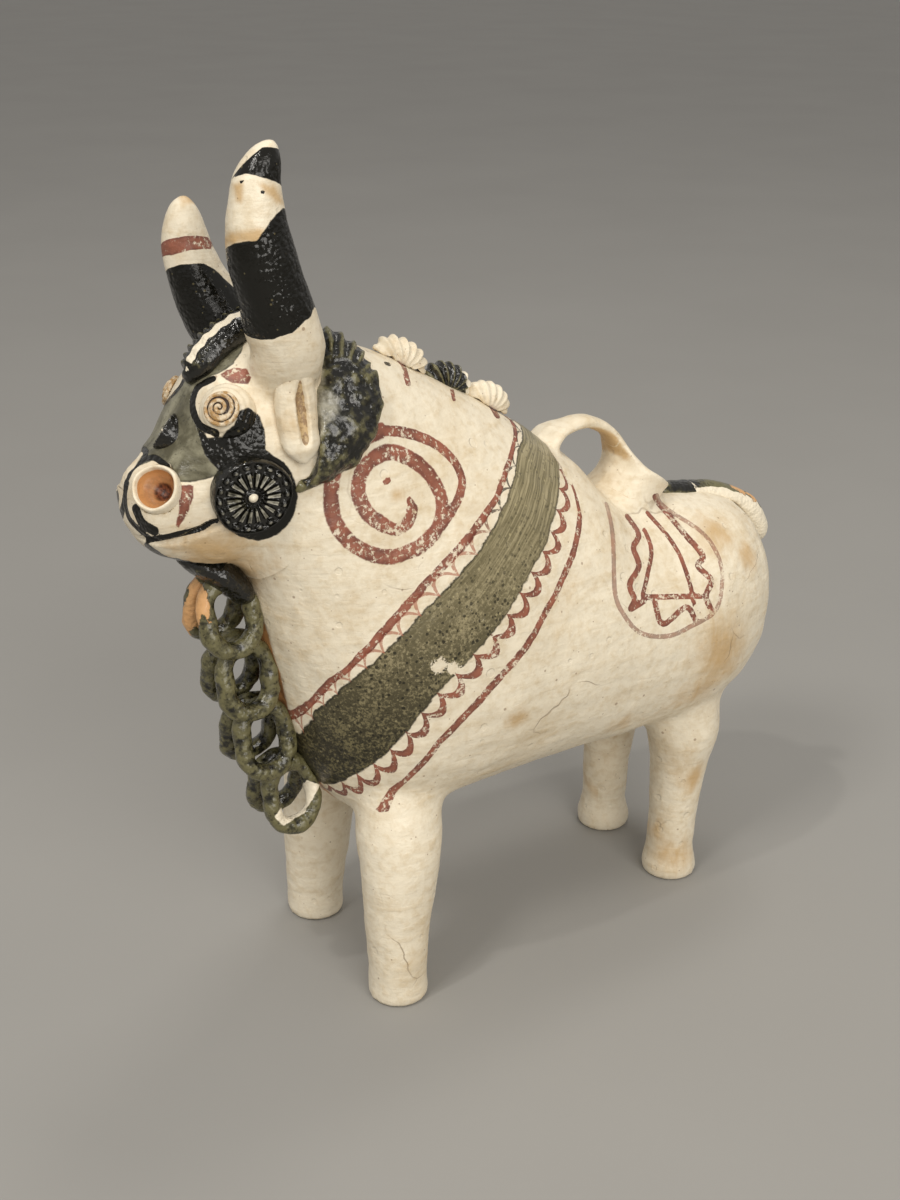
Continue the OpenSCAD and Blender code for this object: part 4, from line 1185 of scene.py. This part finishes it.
class BULL_OT_ears(bpy.types.Operator):
    """Makes the two leaf-shaped ears with their browner grooves"""

    bl_idname = "bull.ears"
    bl_label = "Ears"

    def execute(self, context):
        for side in ("left", "right"):
            ear = luted("ear", f"ear_{side}", 5, 0.2, 0.3, 0.8)
            points = points_of(ear)
            down = np.clip((215 - points[:, 2]) / 29.3, 0, 1)
            middle = np.polyval(np.polyfit(points[:, 2], points[:, 1], 1), points[:, 2])
            points[:, 1] = middle + (points[:, 1] - middle) * (0.92 + 0.5 * eased(down, 0.5, 1))
            points[:, 2] += 8.2 * down
            points[:, 0] -= np.sign(points[:, 0]) * 1.1
            move_to(ear, points)
            paint(ear, collar=False)
            tell_rises(ear, 24)
            tell(ear, "hollow", np.clip(-3 * rises(ear, 30), 0, 1))
            settle(ear, f"ear_{side}_leaf", slip_material(), "slip_trim", f"ear_{side}")
        return {"FINISHED"}


class BULL_OT_ruffs(bpy.types.Operator):
    """Makes the two dark combed flaps behind the ears"""

    bl_idname = "bull.ruffs"
    bl_label = "Ruffs"

    def execute(self, context):
        for side, flip in (("left", 1), ("right", -1)):
            ruff = luted("ruff", f"ruff_{side}", 14, 0.3, 0.7, 0.9)
            dented(ruff, 3.5 * MM, 0.35 * MM)
            fanned(ruff, (flip * 21, -64, 208), (flip * 0.29, 0.93, -0.23), (flip * -0.38, 0.33, 0.86),
                   8, 1.3, 12, 18, 38, 128)
            tell_rises(ruff, 10)
            tell(ruff, "olive", np.full(len(ruff.data.vertices), 0.3))
            tell(ruff, "thinner", 0.62 * field(on_sheet(mirrored(points_of(ruff))), RUFF_THIN))
            settle(ruff, f"ruff_{side}_flap", dark_material(), "dark_glaze", f"ruff_{side}")
        return {"FINISHED"}


class BULL_OT_crest(bpy.types.Operator):
    """Makes the frilled forelock and the three combed tufts along the neck"""

    bl_idname = "bull.crest"
    bl_label = "Forelock and tufts"

    def execute(self, context):
        lock = luted("forelock", "forelock", 8, 0.3, 0.3, 0.7)
        points = points_of(lock)
        along = points @ np.array((0, -0.86, -0.51))
        beads = 0.5 - 0.5 * np.cos(2 * math.pi * along / 2.3)
        move_to(lock, points - normals_of(lock) * (1.1 * beads * eased(-points[:, 0], -1, 1.5))[:, None])
        tell_rises(lock, 8)
        stripe = 2 - np.abs(points[:, 0] - 2.4) / 1.2
        tell(lock, "worn", np.where(normals_of(lock)[:, 2] > 0.2, np.clip(stripe, 0, 2), 0) * (along < 4))
        settle(lock, "forelock_frill", dark_material(), "dark_glaze", "forelock")
        for name, middle, dark in (("front", (0, -29, 207), False), ("middle", (0, -12, 197.5), True),
                                   ("rear", (0, 3.5, 188.5), False)):
            tuft = luted("tuft", f"mane_tuft_{name}", 6, 0.25, 0.3, 0.7)
            fanned(tuft, middle, (0, 0.86, -0.5), (0, 0.5, 0.86), 11, 0.5 if name == "rear" else 0.95, 2.5, 6)
            tell_rises(tuft, 8)
            if dark:
                tell(tuft, "worn", np.clip(1 + (points_of(tuft)[:, 1] + 4.4) / 1.5, 0, 2))
            else:
                tell(tuft, "hollow", 0.5 * np.clip(-rises(tuft, 8), 0, 1))
            settle(tuft, f"mane_tuft_{name}_comb", dark_material() if dark else slip_material(),
                   "dark_glaze" if dark else "slip_trim", f"mane_tuft_{name}")
        return {"FINISHED"}


def rosette(name, place, out, radius, petals, thick):
    """A stamped disc: a dot, a ring of petals, a ring of beads and a rounded rim, standing on the skin. The tops of its
    petals and beads are laid pale as painted highlights.
    """
    rings = [(share * radius, 0) for share in np.linspace(0.03, 0.985, 40)]
    side = [(radius, -0.25 * thick), (radius, -0.6 * thick), (0.97 * radius, -1.6 * thick)]
    disc = turned(name, rings + side, 9 * petals)
    points = points_of(disc)
    share = np.hypot(points[:, 0], points[:, 1]) / radius
    angle = np.arctan2(points[:, 1], points[:, 0])
    rib = eased(np.cos(petals * angle), -0.45, 0.65) * eased(share, 0.23, 0.31) * (1 - eased(share, 0.64, 0.72))
    pitch = 2 * math.pi / petals
    groove = np.clip(1 - np.abs(angle - np.round(angle / pitch) * pitch) * share * radius / 0.28, 0, 1)
    rib = rib * (1 - 0.45 * groove * eased(share, 0.42, 0.52))
    bead_turn = (np.mod(angle / pitch + 0.5, 1) - 0.5) * pitch
    bead = np.clip(1 - ((share - 0.83) / 0.075) ** 2 - (bead_turn * share / 0.105) ** 2, 0, 1) ** 0.5
    dot = np.clip(1 - (share / 0.13) ** 2, 0, 1) ** 0.5
    ring = np.clip(1 - ((share - 0.185) / 0.04) ** 2, 0, 1)
    rim = eased(share, 0.9, 0.94)
    relief = 0.36 * rib + 0.32 * bead + 0.36 * dot + 0.14 * ring + 0.22 * rim - 0.22 * eased(share, 0.95, 1) ** 2 + 0.68
    top = points[:, 2] > -0.05
    points[:, 2] += np.where(top, thick * relief, 0.46 * thick * (points[:, 2] > -0.3 * thick))
    points[:, :2] *= (1 + 0.012 * np.sin(3 * angle + 1) + 0.01 * np.sin(5 * angle))[:, None]
    move_to(disc, points)
    # Painted highlights: the ridge and thinner values make the tops of the petals and beads pale, in place of their
    # glints
    tell(disc, "ridge", 0.3 * np.where(top, np.maximum(rib, bead), 0))
    tell(disc, "thinner", 1.7 * np.where(top, np.maximum(rib * eased(share, 0.28, 0.36), 0.8 * bead), 0) ** 1.5)
    tell(disc, "worn", np.where(top & (share < 0.12), 2, 0))
    disc.data.transform(upright(place - 1.2 * out, out))
    return disc


class BULL_OT_rosettes(bpy.types.Operator):
    """Makes the stamped rosettes of the cheeks and the nose"""

    bl_idname = "bull.rosettes"
    bl_label = "Rosettes"

    def execute(self, context):
        for side in ("left", "right"):
            disc = rosette("rosette", *on_side(CHEEK_SEAT, side), 11.9, 18, 4)
            settle(disc, f"cheek_rosette_{side}_stamp", dark_material(), "dark_glaze", f"cheek_rosette_{side}")
        disc = rosette("rosette", *on_side(NOSE_SEAT, "left"), 5.9, 12, 3.9)
        settle(disc, "nose_rosette_stamp", dark_material(), "dark_glaze", "nose_rosette")
        return {"FINISHED"}


class BULL_OT_eyes(bpy.types.Operator):
    """Makes the ball eyes and their carved pellets"""

    bl_idname = "bull.eyes"
    bl_label = "Eyes"

    def execute(self, context):
        pellet = pellet_material()
        for side in ("left", "right"):
            place, out = on_side(EYE_SEAT, side)
            shift = np.array(upright(place, out).to_3x3() @ Vector((0, 2.8, -0.3)) if side == "left" else -4 * out)
            ball = luted("eye", f"eye_{side}", 8, 0.25, 0.25, 0.8)
            points = points_of(ball)
            local = seen_from(points, place, out)
            far = np.hypot(local[:, 0], local[:, 1])
            rings = (0.5 - 0.5 * np.cos(2 * math.pi * far / 1.5)) * eased(far, 4, 5) * eased(local[:, 2], 0.5, 1.5)
            move_to(ball, points - normals_of(ball) * (0.22 * rings)[:, None] + shift)
            paint(ball, collar=False)
            settle(ball, f"eye_{side}_ball", slip_material(), "slip_trim", f"eye_{side}")
            boss = luted("pellet", f"pupil_{side}", 4, 0.15, 0.1, 0.5)
            points = points_of(boss)
            local = seen_from(points, place, out)
            turn = np.arctan2(local[:, 1], local[:, 0]) / (2 * math.pi)
            coil = 0.5 - 0.5 * np.cos(2 * math.pi * (np.hypot(local[:, 0], local[:, 1]) / 1.35 - turn))
            points = points - normals_of(boss) * (0.6 * coil ** 2)[:, None]
            move_to(boss, np.array(place) + 1.32 * (points - np.array(place)) - 0.9 * np.array(out) + shift)
            tell_rises(boss, 8)
            settle(boss, f"pupil_{side}_pellet", pellet, "eye_pellet", f"pupil_{side}")
        return {"FINISHED"}


class BULL_OT_nostrils(bpy.types.Operator):
    """Makes the thin-lipped cups of the nostrils"""

    bl_idname = "bull.nostrils"
    bl_label = "Nostrils"

    def execute(self, context):
        profile = ((0.4, -4.6), (1.5, -4.5), (2.3, -3.9), (2.9, -3), (3.7, -2.5), (4.7, -2), (5.5, -1.3), (6, -0.3),
                   (6.25, 0.8), (6.45, 1.6), (6.75, 2), (7.15, 2.05), (7.5, 1.7), (7.7, 1.1), (7.8, 0.2), (7.8, -1.5),
                   (7.5, -6))
        for side, flip in (("left", 1), ("right", -1)):
            place, out = on_side(NOSTRIL_SEAT, side)
            cup = turned("nostril", profile, 96)
            apply(cup, "SUBSURF", levels=1)
            points = points_of(cup)
            far = np.hypot(points[:, 0], points[:, 1])
            angle = np.arctan2(points[:, 1], flip * points[:, 0])
            tell(cup, "bare", 1.4 * (1 - eased(far, 5.8, 6.4)))
            # Painted shade: the clay darkens towards the bottom of the nostril's hole
            tell(cup, "deep", np.maximum(1 - eased(far, 2.4, 3.8), 0.45 * (1 - eased(far, 4.4, 6.2))))
            points[:, 2] += (0.3 * np.sin(2 * angle + 0.6) + 0.22 * np.sin(5 * angle)) * eased(far, 4, 6.5)
            points[:, :2] *= (1 + 0.03 * np.sin(2 * angle + 2) + 0.02 * np.sin(3 * angle))[:, None]
            points[:, 0] += flip * 0.9 * (1 - eased(far, 1.5, 5))
            move_to(cup, points)
            cup.data.transform(upright(place - (1.4 if side == "left" else 4) * out, out) @ Matrix.Scale(0.93, 4))
            settle(cup, f"nostril_{side}_cup", slip_material(), "slip_trim", f"nostril_ring_{side}")
        return {"FINISHED"}


class BULL_OT_dewlap(bpy.types.Operator):
    """Makes the loops down the chest and the pad under the jaw that they hang from"""

    bl_idname = "bull.dewlap"
    bl_label = "Dewlap"

    def execute(self, context):
        pad = luted("pad", "chin_pad", 12, 0.3, 0.7)
        dented(pad, 4 * MM, 0.4 * MM)
        tell(pad, "ridge", 0.25 * np.clip(rises(pad, 12), 0, 1))
        settle(pad, "chin_pad_glazed", dark_material(), "dark_glaze", "chin_pad")
        for side in ("left", "right"):
            for step in range(1, 5):
                loop = luted("loop", f"dewlap_loop_{side}_{step}", 8, 0.2, 0.7)
                dented(loop, 3 * MM, 0.25 * MM)
                tell_rises(loop, 12)
                places = on_sheet(points_of(loop))
                tell(loop, "olive", np.full(len(places), LOOP_OLIVE[step - 1] - (0 if side == "left" else 0.15)))
                if step == 1:
                    tell(loop, "chip", field(places, LOOP_CHIPS))
                if side == "left" and step == 4:
                    tell(loop, "worn", field(places, LOOP_CREAM))
                node = f"dewlap_loop_{side}_{step}"
                settle(loop, f"{node}_coil", dark_material(), "dewlap_glaze", node)
        return {"FINISHED"}


class BULL_OT_tail(bpy.types.Operator):
    """Makes the tail that lies over the rump"""

    bl_idname = "bull.tail"
    bl_label = "Tail"

    def execute(self, context):
        tail = luted("tail", "tail", 10, 0.25, 0.5)
        tell_rises(tail, 12)
        points = points_of(tail)
        normals = normals_of(tail)
        points[:, 1] += 4.5 * eased(-points[:, 2], -148, -138)
        points[:, 0] += 2 * eased(-points[:, 2], -146, -134)
        move_to(tail, points)
        far = points[:, 1]
        tell(tail, "olive", eased(far, 92, 106))
        slip = 1 + 3 * (normals[:, 0] - 0.7 * normals[:, 2] - 0.25) * eased(far, 93, 99)
        tell(tail, "worn", np.clip(np.maximum(np.where(far > 93, slip, 0), 1 + (134 - points[:, 2]) / 3), 0, 2))
        tell(tail, "chip", np.clip(1 + blobs(points, ((3.5, (4, 115, 143)), (3, (5, 120, 138)))), 0, 2))
        settle(tail, "tail_glazed", dark_material(), "tail_glaze", "tail")
        return {"FINISHED"}


# Lamps: place and size in metres and power in watts. The camera's place and aim are in millimetres
LAMPS = (
    ("key", (0.35, -0.95, 1.35), 0.35, 6.5),
    ("fill", (1.35, -0.2, 0.8), 0.9, 12),
    ("top", (-0.3, 0.4, 1.6), 0.35, 3.8),
    ("spark", (0.15, -0.6, 1.4), 0.05, 2.2),
)
CAMERA_PLACE = (413.6, -273.25, 342.6)
CAMERA_AIM = (-1.8, -7.55, 124.1)


class BULL_OT_stage(bpy.types.Operator):
    """Sets the floor, the soft lights and the camera"""

    bl_idname = "bull.stage"
    bl_label = "Stage"

    def execute(self, context):
        only(next(iter(frame["bodies"].values())))
        bpy.ops.mesh.primitive_plane_add(size=40)
        floor = context.object
        floor.name = "floor"
        made, w, shader = new_material("Floor")
        w.put(shader.inputs["Base Color"], w.mix(w.noise(6, 3), tone(150, 148, 144), tone(158, 156, 152)))
        shader.inputs["Roughness"].default_value = 0.9
        floor.data.materials.append(made)
        camera = bpy.data.objects.new("camera", bpy.data.cameras.new("camera"))
        context.collection.objects.link(camera)
        camera.location = Vector(CAMERA_PLACE) * MM
        aim = Vector(CAMERA_AIM) * MM - camera.location
        camera.rotation_euler = aim.to_track_quat("-Z", "Y").to_euler()
        camera.data.lens = 48
        camera.data.sensor_width = 36
        context.scene.camera = camera
        world = bpy.data.worlds.new("studio")
        world.use_nodes = True
        world.node_tree.nodes["Background"].inputs[0].default_value = (1, 0.97, 0.93, 1)
        world.node_tree.nodes["Background"].inputs[1].default_value = 0.48
        context.scene.world = world
        context.scene.view_settings.view_transform = "Standard"
        for name, place, size, power in LAMPS:
            lamp = bpy.data.objects.new(name, bpy.data.lights.new(name, "AREA"))
            lamp.data.energy = power
            lamp.data.size = size
            lamp.data.color = (1, 0.965, 0.905)
            lamp.location = place
            lamp.rotation_euler = (Vector((0, 0, 0.13)) - lamp.location).to_track_quat("-Z", "Y").to_euler()
            context.collection.objects.link(lamp)
        return {"FINISHED"}


class BULL_PT_panel(bpy.types.Panel):
    """Lists the steps and settings of the bull"""

    bl_idname = "BULL_PT_panel"
    bl_label = "Clay bull"
    bl_space_type = "VIEW_3D"
    bl_region_type = "UI"
    bl_category = "Clay bull"

    def draw(self, context):
        for step in STEPS:
            self.layout.operator(step.bl_idname)
        for settings in (sizes(), colours()):
            for key in settings.__annotations__:
                self.layout.prop(settings, key)


STEPS = (BULL_OT_body, BULL_OT_ears, BULL_OT_ruffs, BULL_OT_crest, BULL_OT_rosettes, BULL_OT_eyes, BULL_OT_nostrils,
         BULL_OT_dewlap, BULL_OT_tail, BULL_OT_stage)
CLASSES = (BullSizes, BullColours, *STEPS, BULL_PT_panel)


def register():
    """Makes the settings, steps and panel known."""
    for made in CLASSES:
        bpy.utils.register_class(made)
    bpy.types.Scene.bull_sizes = bpy.props.PointerProperty(type=BullSizes)
    bpy.types.Scene.bull_colours = bpy.props.PointerProperty(type=BullColours)


def unregister():
    """Takes the settings, steps and panel away again."""
    del bpy.types.Scene.bull_colours
    del bpy.types.Scene.bull_sizes
    for made in reversed(CLASSES):
        bpy.utils.unregister_class(made)


def main():
    """Builds every piece in order."""
    register()
    for step in STEPS:
        getattr(bpy.ops.bull, step.bl_idname.split(".")[1])()


if __name__ == "__main__":
    main()
